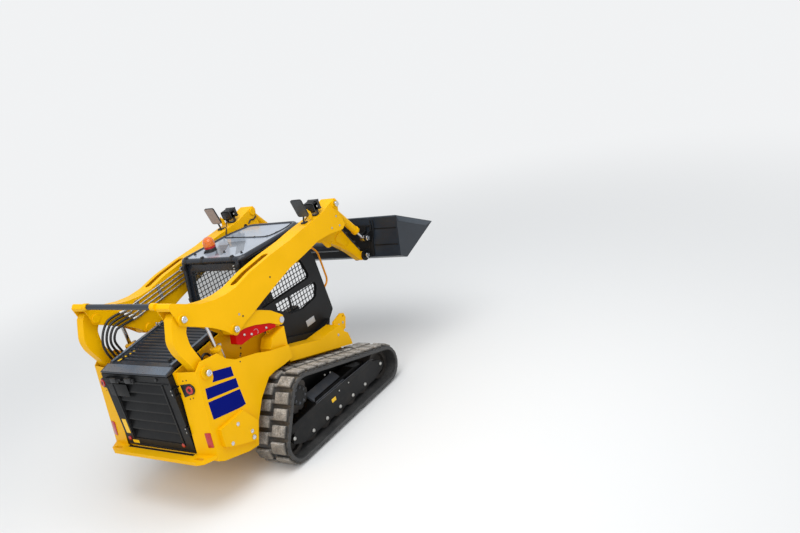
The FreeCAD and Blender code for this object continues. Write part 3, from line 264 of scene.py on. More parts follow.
# Paints: colour, roughness, coat, spread of the colour, dust, height where the dust ends, shine
PAINTS = {
    "yellow_paint": ((0.82, 0.432, 0.0), 0.33, 0.02, 0.02, 0.05, 0.9, 0.07),
    "black_paint": ((0.0070, 0.0073, 0.0080), 0.42, 0.03, 0.12, 0.03, 1.2, 0.20),
    "slate_paint": ((0.020, 0.026, 0.036), 0.34, 0.20, 0.08, 0.05, 1.0),
    "bucket_paint": ((0.015, 0.021, 0.030), 0.36, 0.10, 0.08, 0.06, 1.6),
    # Lighter slate for the bucket's edges and side band: partly wear, partly a painted highlight.
    "bucket_edge_wear_and_painted_highlight": ((0.045, 0.058, 0.075), 0.32, 0.15, 0.08, 0.05, 1.0),
    # Lighter slate for strips on the hood's rails and rear bevel: a painted reflection of the sky.
    "hood_rail_painted_reflection": ((0.10, 0.13, 0.17), 0.30, 0.3, 0.08, 0.05),
    "tube_paint": ((0.016, 0.020, 0.028), 0.26, 0.25, 0.08, 0.05),
    # Bluish grey over the black track frames' sloped cover and top edge: a painted highlight of the sky.
    "frame_painted_sky_highlight": ((0.075, 0.082, 0.095), 0.50, 0.0, 0.12, 0.2, 1.0),
    # Light grey for the cab roof: a painted reflection of the sky on its glossy top.
    "roof_painted_sky_reflection": ((0.33, 0.37, 0.43), 0.14, 0.5, 0.05, 0.05),
    # Darker grey patches on the cab roof: painted reflections.
    "roof_painted_dark_reflection": ((0.15, 0.17, 0.20), 0.2, 0.5, 0.05, 0.05),
    "red_paint": ((0.52, 0.0, 0.0), 0.38, 0.02, 0.05, 0.05, 0.9, 0.10),
    "orange_paint": ((0.75, 0.28, 0.002), 0.35, 0.1, 0.05, 0.1, 0.9, 0.15),
}
# Plain materials: colour, roughness, metal, spread of the colour, grain, bump, other values
PLAINS = {
    "blue_film": ((0.0, 0.0045, 0.15), 0.5, 0.0, 0.03, 120.0, 0.02, {"Specular_IOR_Level": 0.05}),
    "chrome": ((0.62, 0.63, 0.65), 0.16, 1.0, 0.04, 80.0, 0.04),
    "zinc_steel": ((0.50, 0.49, 0.46), 0.34, 0.9, 0.12, 200.0, 0.12),
    "cast_iron": ((0.055, 0.048, 0.042), 0.62, 0.4, 0.3, 150.0, 0.5),
    "black_plastic": ((0.014, 0.014, 0.015), 0.48, 0.0, 0.15, 300.0, 0.25),
    # Warm grey glass of the mirror: a painted reflection.
    "mirror_face": ((0.30, 0.235, 0.205), 0.18, 0.3, 0.06, 20.0, 0.02),
    "mirror_back": ((0.05, 0.055, 0.06), 0.35, 0.0, 0.1, 260.0, 0.1),
    "label_grey": ((0.42, 0.43, 0.44), 0.4, 0.0, 0.06, 120.0, 0.05),
    "label_yellow": ((0.88, 0.52, 0.005), 0.35, 0.0, 0.06, 120.0, 0.05),
    # Near-black discs put where there are holes: painted shade inside them; the arm's cable wears it as its
    # own black.
    "painted_hole_shade_and_cable_black": ((0.012, 0.008, 0.004), 0.7, 0.0, 0.1, 120.0, 0.05),
    "lamp_lens": ((0.45, 0.47, 0.50), 0.08, 0.3, 0.05, 90.0, 0.2, {"Coat_Weight": 0.8}),
}
MATERIALS = {
    **{name: paint(name, *row) for name, row in PAINTS.items()},
    **{name: plain(name, *row) for name, row in PLAINS.items()},
    "amber_plastic": lens_material("amber_plastic", (0.9, 0.19, 0.01)),
    "red_plastic": lens_material("red_plastic", (0.55, 0.005, 0.01)),
    "track_rubber": rubber_material(), "window_glass": glass_material(),
    "seat_vinyl": vinyl_material(), "hose_rubber": hose_material(),
}
# Finish of each carried-over node, where it differs from its slot in the record
# The cab roof's light grey finish is a painted reflection of the sky.
NODE_FINISH = {"cab_roof": "roof_painted_sky_reflection", "cab_frame": "tube_paint", "bucket": "bucket_paint"}


def smooth_faces(mesh, angle=math.radians(32)):
    mesh.polygons.foreach_set("use_smooth", [True] * len(mesh.polygons))
    mesh.set_sharp_from_angle(angle=angle)


def finish_nodes():
    slots = {part["node"]: part["material_slot"] for part in frame["record"]["subparts"]}
    for name, obj in frame["nodes"].items():
        obj.data.materials.clear()
        obj.data.materials.append(MATERIALS[NODE_FINISH.get(name, slots[name])])
        smooth_faces(obj.data)


# Mesh building

BOX_FACES = ((0, 2, 3, 1), (4, 5, 7, 6), (0, 1, 5, 4), (2, 6, 7, 3), (0, 4, 6, 2), (1, 3, 7, 5))


def at(place, y):
    """Point of an (x, z) place at a station across the machine."""
    return Vector((place[0], y, place[1]))


def tilt(degrees):
    return Matrix.Rotation(math.radians(degrees), 3, "Y")


def disc(radius, height, foot=0.0, top=None):
    """Profile of a turned disc or peg."""
    return (radius, foot), (radius, height), (0.0, top or height)


def knob(radius, shoulder, tip, height, top=None):
    """Profile of a turned head: straight up to its shoulder, then narrowing to its tip."""
    return (radius, 0.0), (radius, shoulder), (tip, height), (0.0, top or height)


class Batch:
    """Several small solids of one finish on one body, gathered in one mesh."""

    def __init__(self):
        self.bm = bmesh.new()

    def solid(self, verts, faces=BOX_FACES, bevel=0.0):
        made = [self.bm.verts.new(v) for v in verts]
        built = [self.bm.faces.new([made[i] for i in face]) for face in faces]
        if bevel:
            edges = list({edge for face in built for edge in face.edges})
            bmesh.ops.bevel(self.bm, geom=edges, offset=bevel, segments=2, affect="EDGES", profile=0.5)

    def box(self, low, high, bevel=0.0, turn=None, centre=(0, 0, 0)):
        """Box between two corners, or turned and moved from them."""
        corners = [Vector((x, y, z)) for z in (low[2], high[2]) for y in (low[1], high[1])
                   for x in (low[0], high[0])]
        if turn is not None:
            corners = [turn @ corner for corner in corners]
        self.solid([corner + Vector(centre) for corner in corners], bevel=bevel)

    def skin(self, rings, ends=True):
        """Faces from each ring of vertices to the next. A ring of one vertex is a tip."""
        if ends:
            for ring in (rings[0][::-1], rings[-1]):
                if len(ring) > 1:
                    self.bm.faces.new(ring)
        for low, high in zip(rings, rings[1:]):
            steps = max(len(low), len(high))
            for step in range(steps):
                after = (step + 1) % steps
                if len(low) == 1:
                    self.bm.faces.new((low[0], high[after], high[step]))
                elif len(high) == 1:
                    self.bm.faces.new((low[step], low[after], high[0]))
                else:
                    self.bm.faces.new((low[step], low[after], high[after], high[step]))

    def lathe(self, profile, centre, axis, steps=24, start=0.0):
        """Turned solid: (radius, height) points from its foot to its top, both ends closed."""
        turn = Z.rotation_difference(Vector(axis).normalized()).to_matrix()
        rings = []
        for radius, height in profile:
            angles = [start + 2 * math.pi * step / steps for step in range(steps if radius else 1)]
            points = [Vector((radius * math.cos(a), radius * math.sin(a), height)) for a in angles]
            rings.append([self.bm.verts.new(Vector(centre) + turn @ point) for point in points])
        self.skin(rings)

    def bolt(self, place, axis, radius, head):
        """Hexagon head on a washer."""
        self.lathe(disc(radius * 1.5, head * 0.3), place, axis, 16)
        self.lathe(knob(radius, head * 0.85, radius * 0.82, head), place, axis, 6)

    def studs(self, profile, places, y, steps=24, out=1):
        """The same turned solid at (x, z) places of both sides, facing outward, or inward with out -1."""
        for side in SIDES:
            for place in places:
                self.lathe(profile, at(place, side * y), Y * side * out, steps)

    def bolts(self, places, y, radius, head):
        """Bolts at (x, z) places of both sides."""
        for side in SIDES:
            for place in places:
                self.bolt(at(place, side * y), Y * side, radius, head)

    def tube(self, points, radius, steps=10):
        """Round bar along points, with closed ends."""
        points = [Vector(p) for p in points]
        side = None
        rings = []
        for before, point, after in zip(points[:1] + points, points, points[1:] + points[-1:]):
            way = (after - before).normalized()
            if side is None:
                side = way.orthogonal().normalized()
            side = (side - way * side.dot(way)).normalized()
            other = way.cross(side)
            angles = [2 * math.pi * step / steps for step in range(steps)]
            spokes = [(side * math.cos(a) + other * math.sin(a)) * radius for a in angles]
            rings.append([self.bm.verts.new(point + spoke) for spoke in spokes])
        self.skin(rings)

    def plate(self, points, normal, thick, bevel=0.0):
        """Flat plate of an outline, raised along its normal."""
        rise = Vector(normal).normalized() * thick
        low = [Vector(p) for p in points]
        count = len(low)
        faces = [tuple(range(count - 1, -1, -1)), tuple(range(count, 2 * count))]
        faces += [(i, (i + 1) % count, (i + 1) % count + count, i + count) for i in range(count)]
        self.solid(low + [p + rise for p in low], faces, bevel)

    def side_plates(self, outline, y, thick, bevel=0.0):
        """The same (x, z) outline as a plate on both sides, raised outward."""
        for side in SIDES:
            self.plate([at(p, side * y) for p in outline], Y * side, thick, bevel)

    def side_tubes(self, places, y, radius, steps):
        """The same bar along (x, z) places on both sides."""
        for side in SIDES:
            self.tube([at(p, side * y) for p in places], radius, steps)

    def side_boxes(self, low, high, y, bevel):
        """The same box on both sides, its corners given from the middle of its station."""
        for side in SIDES:
            self.box(low, high, bevel, centre=(0, side * y, 0))

    def done(self, name, finish, body, slot=None, smooth=32, ride=True):
        bmesh.ops.recalc_face_normals(self.bm, faces=self.bm.faces[:])
        mesh = bpy.data.meshes.new(name)
        self.bm.to_mesh(mesh)
        self.bm.free()
        mesh.materials.append(MATERIALS[finish])
        smooth_faces(mesh, math.radians(smooth))
        obj = add_object(name, mesh)
        if ride:
            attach(obj, body)
        return obj


# Pins, with their keeper bolts: (ahead, outward, down) from the middle of the cap

PIN_CAP = ((0.031, 0.0), (0.031, 0.016), (0.027, 0.020), (0.016, 0.020), (0.014, 0.014), (0.0, 0.014))
FLAT_CAP = ((0.033, -0.003), (0.033, 0.0006), (0.018, 0.0006), (0.0, 0.0006))
KEEPER = (0.019, 0.019, 0.013)
ARM_PINS = (PIN_REAR_ARM, PIN_FRONT_ARM, PIN_TILT_BASE)


def pin_caps(name, body, places, y):
    caps = Batch()
    caps.studs(PIN_CAP, places, y, 28)
    ahead, outward, down = KEEPER
    caps.bolts([(x + ahead, z - down) for x, z in places], y + outward, 0.006, 0.007)
    caps.done(name, "chrome", body)


def make_pins():
    pin_caps("arm_pin_caps", "lift_arms", ARM_PINS, 0.7435)
    pin_caps("rear_frame_caps", "root", (PIN_REAR_FRAME,), 0.7835)
    flat = Batch()
    flat.studs(FLAT_CAP, (PIN_FRONT_FRAME,), 0.7055, 28)
    flat.done("front_frame_caps", "chrome", "root")
    rings = Batch()
    rings.studs(knob(0.047, 0.009, 0.044, 0.012), ARM_PINS, ARM_OUT, 36)
    rings.studs(knob(0.045, 0.009, 0.042, 0.012), ARM_PINS, ARM_IN, 36, out=-1)
    rings.done("arm_boss_rings", "yellow_paint", "lift_arms")


# Hoses on the left arm: their pipes' ends, their loop and the block on the rear link where they end

PIPE_Y, PIPE_PITCH, PIPE_STEP, PIPE_RISE = 0.518, 0.045, 0.040, 0.11
PIPE_START = (-1.390, 1.801)
HOSE_LENGTHS, HOSE_R = (0.786, 0.754, 0.722, 0.691), 0.0125
HOSE_CENTRE = (-1.480, 1.577)
HOSE_BEND, HOSE_BEND_STEP = 0.255, 0.047
HOSE_TURNS = ((110, 0.0), (135, 0.0), (160, 0.3), (185, 0.7), (212, 1.0))    # angle, share of the way outward
HOSE_LOW_Y, HOSE_END, HOSE_END_STEP, HOSE_SAG = 0.552, -1.620, 0.046, 0.008
BLOCK_TOP = 1.296
CRIMP = ((0.0105, -0.02), (0.0105, 0.0), (0.0165, 0.0), (0.0172, 0.02), (0.0160, 0.024), (0.0172, 0.028),
         (0.0160, 0.032), (0.0172, 0.052), (0.0150, 0.056))
NUT_R = 0.0155


def hose_route(number):
    """Route of one hose: from its pipe, round the loop and down to the block on the rear link."""
    drop = number * (PIPE_STEP * PIPE_RISE - PIPE_PITCH)
    points = [at((PIPE_START[0] + number * PIPE_STEP, PIPE_START[1] + drop), PIPE_Y)]
    bend = HOSE_BEND - number * HOSE_BEND_STEP
    for angle, share in HOSE_TURNS:
        way = unit(math.radians(angle))
        points.append(at(HOSE_CENTRE, PIPE_Y + share * (HOSE_LOW_Y - PIPE_Y)) + way * bend)
    end = Vector((HOSE_END + number * HOSE_END_STEP, HOSE_LOW_Y, BLOCK_TOP))
    middle = (points[-1] + end) / 2
    return points + [middle - X * HOSE_SAG, end]


def unit(angle):
    return Vector((math.cos(angle), 0, math.sin(angle)))


def spline_line(route):
    """Points along the smooth curve of a route."""
    curve = bpy.data.curves.new("line", "CURVE")
    curve.dimensions, curve.resolution_u = "3D", 12
    spline = curve.splines.new("NURBS")
    spline.points.add(len(route) - 1)
    for target, point in zip(spline.points, route):
        target.co = (*point, 1.0)
    spline.order_u, spline.use_endpoint_u = 3, True
    holder = add_object("line", curve)
    bpy.context.view_layer.update()
    mesh = bpy.data.meshes.new_from_object(holder)
    points = [vertex.co.copy() for vertex in mesh.vertices]
    bpy.data.objects.remove(holder)
    bpy.data.meshes.remove(mesh)
    return points


def make_hoses():
    top, foot = Batch(), Batch()
    for number, length in enumerate(HOSE_LENGTHS):
        route = hose_route(number)
        line = spline_line(route)
        hose = Batch()
        hose.tube(line, HOSE_R, 14)
        name = str(number + 1)
        obj = hose.done("hydraulic_hose_" + name, "hose_rubber", "lift_arms", smooth=60, ride=False)
        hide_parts("arm_hose_" + name)
        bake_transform(obj)
        way = route[1] - route[0]
        top.lathe(CRIMP, route[0], way, 18)
        top.lathe(((NUT_R, -0.036), (NUT_R, -0.016)), route[0], way, 6)
        foot.lathe(CRIMP, route[-1], route[-2] - route[-1], 18)
        foot.lathe(((NUT_R, 0.0), (NUT_R, 0.016)), route[-1], Z, 6)
    top.done("hose_fittings_top", "zinc_steel", "lift_arms")
    foot.done("hose_fittings_foot", "zinc_steel", "rear_links")


# Tracks: a belt round three wheels, (x, z, inner radius), with blocks standing out of it

WHEELS = ((-1.059, 0.230, 0.165), (-0.790, 0.582, 0.200), (0.497, 0.230, 0.165))
TRACK_IN, TRACK_OUT, TRACK_EDGE = 0.550, 1.000, 0.007
BELT, BELT_STEPS = 0.035, 320
LUG, LUG_PITCH = 0.030, 0.160
LUG_LONG = 0.124         # length of a lug with its worn root
# Blocks: from y, to y, height, length, draft, bevel, number in a pitch, offset in their own steps
BLOCKS = (
    (0.560, 0.742, LUG, LUG_LONG, 0.008, 0.007, 1, 0.0),
    (0.786, 0.962, LUG, LUG_LONG, 0.008, 0.007, 1, 0.5),
    (0.732, 0.796, LUG - 0.012, 0.052, 0.010, 0.004, 1, 0.25),
    (0.966, 0.996, 0.006, 0.062, 0.004, 0.002, 2, 0.5),
)
# Wear: start over the belt, end short of the lug's tip, share that it adds, least share
WORN = (0.006, 0.008, 0.95, 0.12)


def belt_path(extra):
    """Pieces of the outline at a distance off the wheels: (length, start or centre, way, angle, radius)."""
    centres = [Vector((x, 0, z)) for x, z, _ in WHEELS]
    radii = [radius + extra for _, _, radius in WHEELS]
    normals = []
    for index in range(3):
        run = centres[(index + 1) % 3] - centres[index]
        lean = math.asin((radii[index] - radii[(index + 1) % 3]) / run.length)
        normals.append(math.atan2(run.z, run.x) + math.pi / 2 - lean)
    pieces = []
    for index in range(3):
        following = (index + 1) % 3
        start = centres[index] + unit(normals[index]) * radii[index]
        run = centres[following] + unit(normals[index]) * radii[following] - start
        pieces.append((run.length, start, run.normalized(), normals[index], None))
        turn = (normals[index] - normals[following]) % (2 * math.pi)
        pieces.append((turn * radii[following], centres[following], None, normals[index], radii[following]))
    return pieces


def belt_frames(extra, count, offset=0.0):
    """Evenly spaced places and outward angles along the belt."""
    pieces = belt_path(extra)
    total = sum(piece[0] for piece in pieces)
    frames = []
    for number in range(count):
        distance = (number + offset) * total / count % total
        for length, place, way, angle, radius in pieces:
            if distance <= length:
                if radius is None:
                    frames.append((place + way * distance, angle))
                else:
                    angle -= distance / radius
                    frames.append((place + unit(angle) * radius, angle))
                break
            distance -= length
    return frames


def belt_rise(point):
    """Height of a point over the belt's inner face."""
    flat = Vector((point.x, 0, point.z))
    heights = []
    for length, place, way, angle, radius in belt_path(0.0):
        off = flat - place
        if radius is None:
            if -0.001 <= off.dot(way) <= length + 0.001:
                heights.append(off.dot(unit(angle)))
        elif (angle - math.atan2(off.z, off.x)) % (2 * math.pi) * radius <= length + 0.001:
            heights.append(off.length - radius)
    return min(heights, key=lambda h: abs(h - BELT)) if heights else 0.0


def add_block(batch, place, angle, y0, y1, high, long, draft, bevel):
    """Block that narrows towards its tip, standing out of the belt."""
    along = unit(angle - math.pi / 2)
    corners = [place + along * a * size + Y * (y0 + (y1 - y0) * b + (0.5 - b) * 2 * inset) + unit(angle) * h
               for h, size, inset in ((-0.004, long / 2, 0.0), (high, long / 2 - draft, 0.005))
               for b in (0, 1) for a in (-1, 1)]
    batch.solid(corners, bevel=bevel)


def make_tracks():
    low, high = TRACK_EDGE, BELT - TRACK_EDGE
    inner, outer = TRACK_IN + TRACK_EDGE, TRACK_OUT - TRACK_EDGE
    section = ((TRACK_IN, low), (inner, 0), (outer, 0), (TRACK_OUT, low), (TRACK_OUT, high), (outer, BELT),
               (inner, BELT), (TRACK_IN, high))
    count = round(sum(piece[0] for piece in belt_path(BELT)) / LUG_PITCH)
    begin, short, added, least = WORN
    for side, name in SIDE_NAMES.items():
        track = Batch()
        rings = [[track.bm.verts.new(place + Y * y + unit(angle) * rise) for y, rise in section]
                 for place, angle in belt_frames(0.0, BELT_STEPS)]
        track.skin(rings + rings[:1], ends=False)
        for *shape, number, offset in BLOCKS:
            for place, angle in belt_frames(BELT, number * count, offset):
                add_block(track, place, angle, *shape)
        for vertex in track.bm.verts:
            vertex.co.y *= side
        obj = track.done("rubber_track_" + name, "track_rubber", "root")
        wear = obj.data.attributes.new("wear", "FLOAT", "POINT")
        for vertex in obj.data.vertices:
            share = (belt_rise(vertex.co) - BELT - begin) / (LUG - short)
            wear.data[vertex.index].value = min(1.0, least + added * max(0.0, share))
        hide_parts("track_" + name)


# Seat cushions: name, lowest and highest corner, axis and places of the sewn channels, axis of the face

CUSHIONS = (
    ("seat_cushion", (-0.466, -0.232, 0.957), (-0.014, 0.232, 1.060), 0, (-0.36, -0.25, -0.14), 2),
    ("seat_backrest", (-0.578, -0.232, 1.004), (-0.480, 0.232, 1.555), 2, (1.12, 1.24, 1.36, 1.46), 0),
)
CHANNEL, SEAM = (0.008, 0.010), (0.007, 0.009)      # depth, width
SEAM_INSET, CROWN, CROWN_SUNK = 0.070, 0.006, 0.004
PIPING_IN, PIPING_STEPS = 0.93, 60
PUFF_CAP, PUFF_FRAMES = 0.012, 20


def puff(obj):
    """Swells a cushion under pressure, with a limit on how far a point may move."""
    rest = [vertex.co.copy() for vertex in obj.data.vertices]
    cloth = obj.modifiers.new("cloth", "CLOTH")
    cloth.settings.use_pressure = True
    cloth.settings.uniform_pressure_force = 4.0
    cloth.settings.effector_weights.gravity = 0.0
    cloth.point_cache.frame_start, cloth.point_cache.frame_end = 1, PUFF_FRAMES
    scene = bpy.context.scene
    for step in range(1, PUFF_FRAMES + 1):
        scene.frame_set(step)
    swollen = obj.evaluated_get(bpy.context.evaluated_depsgraph_get()).to_mesh()
    places = [vertex.co.copy() for vertex in swollen.vertices]
    obj.modifiers.remove(cloth)
    scene.frame_set(1)
    for vertex, start, end in zip(obj.data.vertices, rest, places):
        move = end - start
        if move.length > PUFF_CAP:
            move *= PUFF_CAP / move.length
        vertex.co = start + move


def groove(off, depth, width):
    return depth * math.exp(-(off / width) ** 2)


def make_cushions():
    for name, low, high, axis, channels, face in CUSHIONS:
        low, high = Vector(low), Vector(high)
        inset = Vector((0.010, 0.010, 0.010))
        block = Batch()
        block.box(low + inset, high - inset, 0.026)
        obj = block.done(name, "seat_vinyl", "root", smooth=180)
        remesh = obj.modifiers.new("remesh", "REMESH")
        remesh.mode, remesh.voxel_size = "VOXEL", 0.009
        mesh = bpy.data.meshes.new_from_object(obj.evaluated_get(bpy.context.evaluated_depsgraph_get()))
        obj.modifiers.remove(remesh)
        obj.data = mesh
        puff(obj)
        middle, half = (low + high) / 2, (high - low) / 2
        for vertex in obj.data.vertices:
            point = vertex.co
            depth = sum(groove(point[axis] - channel, *CHANNEL) for channel in channels)
            depth += groove(abs(point.y) - half.y + SEAM_INSET, *SEAM)
            if point[face] > middle[face]:
                point[face] -= depth
            if point[face] > middle[face]:
                point[face] += CROWN * (1 - (point.y / half.y) ** 2) - CROWN_SUNK
            for index in range(3):
                point[index] = min(max(point[index], low[index]), high[index])
        smooth_faces(obj.data, math.pi)
        rim = []
        other = 2 - face
        for step in range(PIPING_STEPS + 1):
            turn = unit(2 * math.pi * step / PIPING_STEPS)
            turn *= PIPING_IN / max(abs(turn.x), abs(turn.z))
            spot = middle.copy()
            spot.y += turn.x * half.y
            spot[other] += turn.z * half[other]
            spot[face] = high[face] - 0.020
            rim.append(spot)
        piping = Batch()
        piping.tube(rim, 0.0035, 6)
        trim = piping.done(name + "_piping", "black_plastic", "root")
        if name == "seat_cushion":
            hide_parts("seat_pads")
        trim.parent = obj


# Rear door. Latches: from y, to y, z. Ribs and labels: from y, to y, from z, to z, thickness, bevel

LATCHES = ((0.235, 0.345, 1.316), (0.005, 0.125, 1.322))
DOOR_RIBS = ((0.165, 0.455, 1.137, 1.272, 0.004, 0.003), (-0.465, 0.465, 0.590, 0.606, 0.006, 0.003),
             (-0.465, 0.465, 1.302, 1.312, 0.006, 0.003), (-0.382, -0.362, 0.65, 1.30, 0.008, 0.004),
             (0.362, 0.382, 0.65, 1.30, 0.008, 0.004))
DOOR_LABELS = ((0.400, 0.462, 0.712, 0.870, 0.0015), (0.318, 0.410, 0.593, 0.640, 0.0015))


def on_door(batch, y0, y1, z0, z1, thick, bevel=0.0):
    batch.box((DOOR_FACE - thick, y0, z0), (DOOR_FACE, y1, z1), bevel)


def make_rear():
    black = Batch()
    for y0, y1, z in LATCHES:
        on_door(black, y0, y1, z - 0.022, z + 0.022, 0.030, 0.006)
        black.box((-0.042, y0 + 0.015, -0.012), (-0.020, y1 - 0.015, 0.038), 0.005, centre=(DOOR_FACE, 0, z))
    black.lathe(knob(0.016, 0.010, 0.010, 0.016), (DOOR_FACE, -0.316, 1.349), -X)
    black.done("door_latches", "black_plastic", "rear_door")
    ribs, labels, reflectors, bolts = Batch(), Batch(), Batch(), Batch()
    for row in DOOR_RIBS:
        on_door(ribs, *row)
    ribs.done("door_ribs", "black_paint", "rear_door")
    for row in DOOR_LABELS:
        on_door(labels, *row)
    labels.done("door_labels", "label_yellow", "rear_door", "yellow_paint")
    for y in (-0.357, 0.440):
        reflectors.lathe(knob(0.022, 0.006, 0.018, 0.010, 0.011), (DOOR_FACE, y, 0.655), -X)
    reflectors.done("door_reflectors", "red_plastic", "rear_door")
    for z in (1.20, 1.24, 0.80, 0.84):
        bolts.bolt((DOOR_FACE, -0.470, z), -X, 0.006, 0.005)
    bolts.done("door_bolts", "zinc_steel", "rear_door")


# Corner facets: places on the facet, (inward, up) from the foot, and outlines round them

LAMP, LAMP_RING, TAIL_REFLECTOR = (0.120, 0.628), (0.114, 0.660), (0.072, 0.165)
LAMP_PLATE = ((0.104, 0.078), (-0.016, 0.088), (-0.058, 0.040), (-0.040, -0.010), (0.085, -0.044))
LAMP_HOLES = ((0.061, 0.115), (0.020, 0.120), (0.028, -0.062), (-0.009, -0.054))
REFLECTOR = ((0.016, 0.061), (-0.052, 0.065), (-0.056, -0.080), (0.010, -0.084))
LENS = ((0.039, 0.010), (0.039, 0.022), (0.034, 0.026), (0.020, 0.026), (0.016, 0.018), (0.0, 0.018))


def facet_axes(side):
    """Foot, upward and inward directions and outward normal of a corner facet."""
    low = Vector((-1.864, side * POD_SKIN, 0.565))
    upward = (Vector((-1.770, side * POD_SKIN, 1.386)) - low).normalized()
    inward = (Vector((-1.900, side * 0.510, 0.565)) - low).normalized()
    normal = upward.cross(inward).normalized()
    return low, upward, inward, normal if normal.x < 0 else -normal


def make_facets():
    plates, lamps, centres, holes = Batch(), Batch(), Batch(), Batch()
    for side in SIDES:
        foot, up, inward, normal = facet_axes(side)

        def on_facet(places, start=(0, 0)):
            return [foot + inward * (start[0] + a) + up * (start[1] + b) for a, b in places]

        plates.plate(on_facet(LAMP_PLATE, LAMP), normal, 0.004, 0.0015)
        ring = on_facet([LAMP_RING])[0]
        plates.lathe(knob(0.050, 0.012, 0.046, 0.016), ring, normal, 32)
        lamps.lathe(LENS, ring, normal, 32)
        centres.lathe(disc(0.015, 0.022, 0.012, 0.024), ring, normal, 24)
        # Dark discs for the holes round the lamp plate: painted shade.
        for place in on_facet(LAMP_HOLES, LAMP):
            holes.lathe(disc(0.007, 0.001), place, normal, 14)
        lamps.plate(on_facet(REFLECTOR, TAIL_REFLECTOR), normal, 0.006, 0.001)
    plates.done("lamp_plates", "black_plastic", "root")
    obj = lamps.done("tail_lamp_lenses", "red_plastic", "root")
    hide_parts("tail_lamps")
    centres.done("lamp_centres", "black_plastic", "root")
    holes.done("facet_holes", "painted_hole_shade_and_cable_black", "root", "black_paint")


# Side pods: bolts of the covers and blue stripes, in (x, z)

COVER_BOLTS, COVER_PLUG = ((-1.561, 0.719), (-1.690, 0.590), (-1.430, 0.560)), (-1.437, 0.500)
STRIPES = (
    ((-1.600, 1.297), (-1.382, 1.229), (-1.386, 1.131), (-1.640, 1.205), (-1.612, 1.240)),
    ((-1.740, 1.196), (-1.372, 1.102), (-1.374, 1.006), (-1.756, 1.092)),
    ((-1.762, 1.066), (-1.371, 0.983), (-1.363, 0.815), (-1.420, 0.818), (-1.470, 0.826), (-1.770, 0.891)),
)
FILM = 0.0012


def make_pod_details():
    bolts, film = Batch(), Batch()
    bolts.bolts(COVER_BOLTS, COVER_FACE, 0.013, 0.010)
    bolts.studs(knob(0.024, 0.014, 0.016, 0.020), (COVER_PLUG,), COVER_FACE - 0.002, 20)
    bolts.done("cover_bolts", "chrome", "root")
    for outline in STRIPES:
        film.side_plates(outline, POD_SKIN, FILM)
    film.done("side_stripes", "blue_film", "root")


# Roof: cable, darker patches that are painted reflections, fittings and clamps, in (x, y), and fittings on
# the rear posts

ROOF, RAIL_Z, POST_Y = 2.000, 1.979, 0.400
CABLE = ((0.060, 0.386), (0.048, 0.241), (0.016, -0.120), (0.008, -0.291), (0.059, -0.333), (0.259, -0.365),
         (0.400, -0.330))
DARK_REFLECTIONS = (
    ((-0.174, 0.269), (-0.155, 0.119), (-0.373, -0.030), (-0.470, -0.080), (-0.469, 0.020), (-0.351, 0.122)),
    ((-0.090, 0.201), (-0.066, -0.050), (-0.362, -0.300), (-0.480, -0.290), (-0.230, -0.070),
     (-0.257, 0.010)),
)
KNOBS = ((-0.391, 0.250), (-0.403, -0.056), (-0.438, -0.343), (-0.426, 0.370))
KNOB = ((0.015, 0.0), (0.015, 0.006), (0.009, 0.008), (0.009, 0.022), (0.0, 0.024))
TUBE_CLAMPS = ((-0.566, 0.110), (-0.566, -0.330), (-0.566, 0.360))
TUBE_CLAMP = ((0.030, -0.018), (0.038, -0.018), (0.038, 0.018), (0.030, 0.018))


def make_roof():
    cable, patches, clamps, fittings = Batch(), Batch(), Batch(), Batch()
    line = spline_line([(x, y, ROOF + 0.005) for x, y in CABLE])
    cable.tube(line, 0.006, 8)
    for place in line[6::16]:
        cable.box((-0.012, -0.006, -0.004), (0.012, 0.006, 0.008), 0.002, centre=place)
    cable.done("roof_cable", "black_plastic", "root")
    # Thin darker patches on the roof: painted reflections.
    for outline in DARK_REFLECTIONS:
        patches.plate([(x, y, ROOF) for x, y in outline], Z, 0.0008)
    patches.done("roof_painted_dark_reflections", "roof_painted_dark_reflection", "root", "slate_paint")
    for x, y in KNOBS:
        clamps.lathe(KNOB, (x, y, ROOF), Z, 12)
    for x, y in TUBE_CLAMPS:
        clamps.lathe(TUBE_CLAMP, (x, y, RAIL_Z), Y, 24)
        clamps.box((-0.016, -0.014, 0.024), (0.016, 0.014, 0.050), 0.003, centre=(x, y, RAIL_Z))
    clamps.side_boxes((-0.628, -0.030, 1.900), (-0.590, 0.030, 1.950), POST_Y, 0.005)
    clamps.side_boxes((-0.668, -0.026, 1.560), (-0.640, 0.026, 1.600), POST_Y, 0.004)
    clamps.done("roof_clamps", "black_plastic", "root")
    for side in SIDES:
        for z in (1.910, 1.940):
            fittings.lathe(knob(0.008, 0.016, 0.005, 0.020), (-0.628, side * POST_Y + 0.012, z), -X, 10)
    fittings.done("post_fittings", "zinc_steel", "root")


BEACON = Vector((-0.335, 0.212, ROOF))
DOME = ((0.058, 0.058), (0.063, 0.064), (0.064, 0.095), (0.060, 0.122), (0.046, 0.146), (0.026, 0.158),
        (0.0, 0.161))
DOME_SIDES, DOME_TURN = 12, 0.2


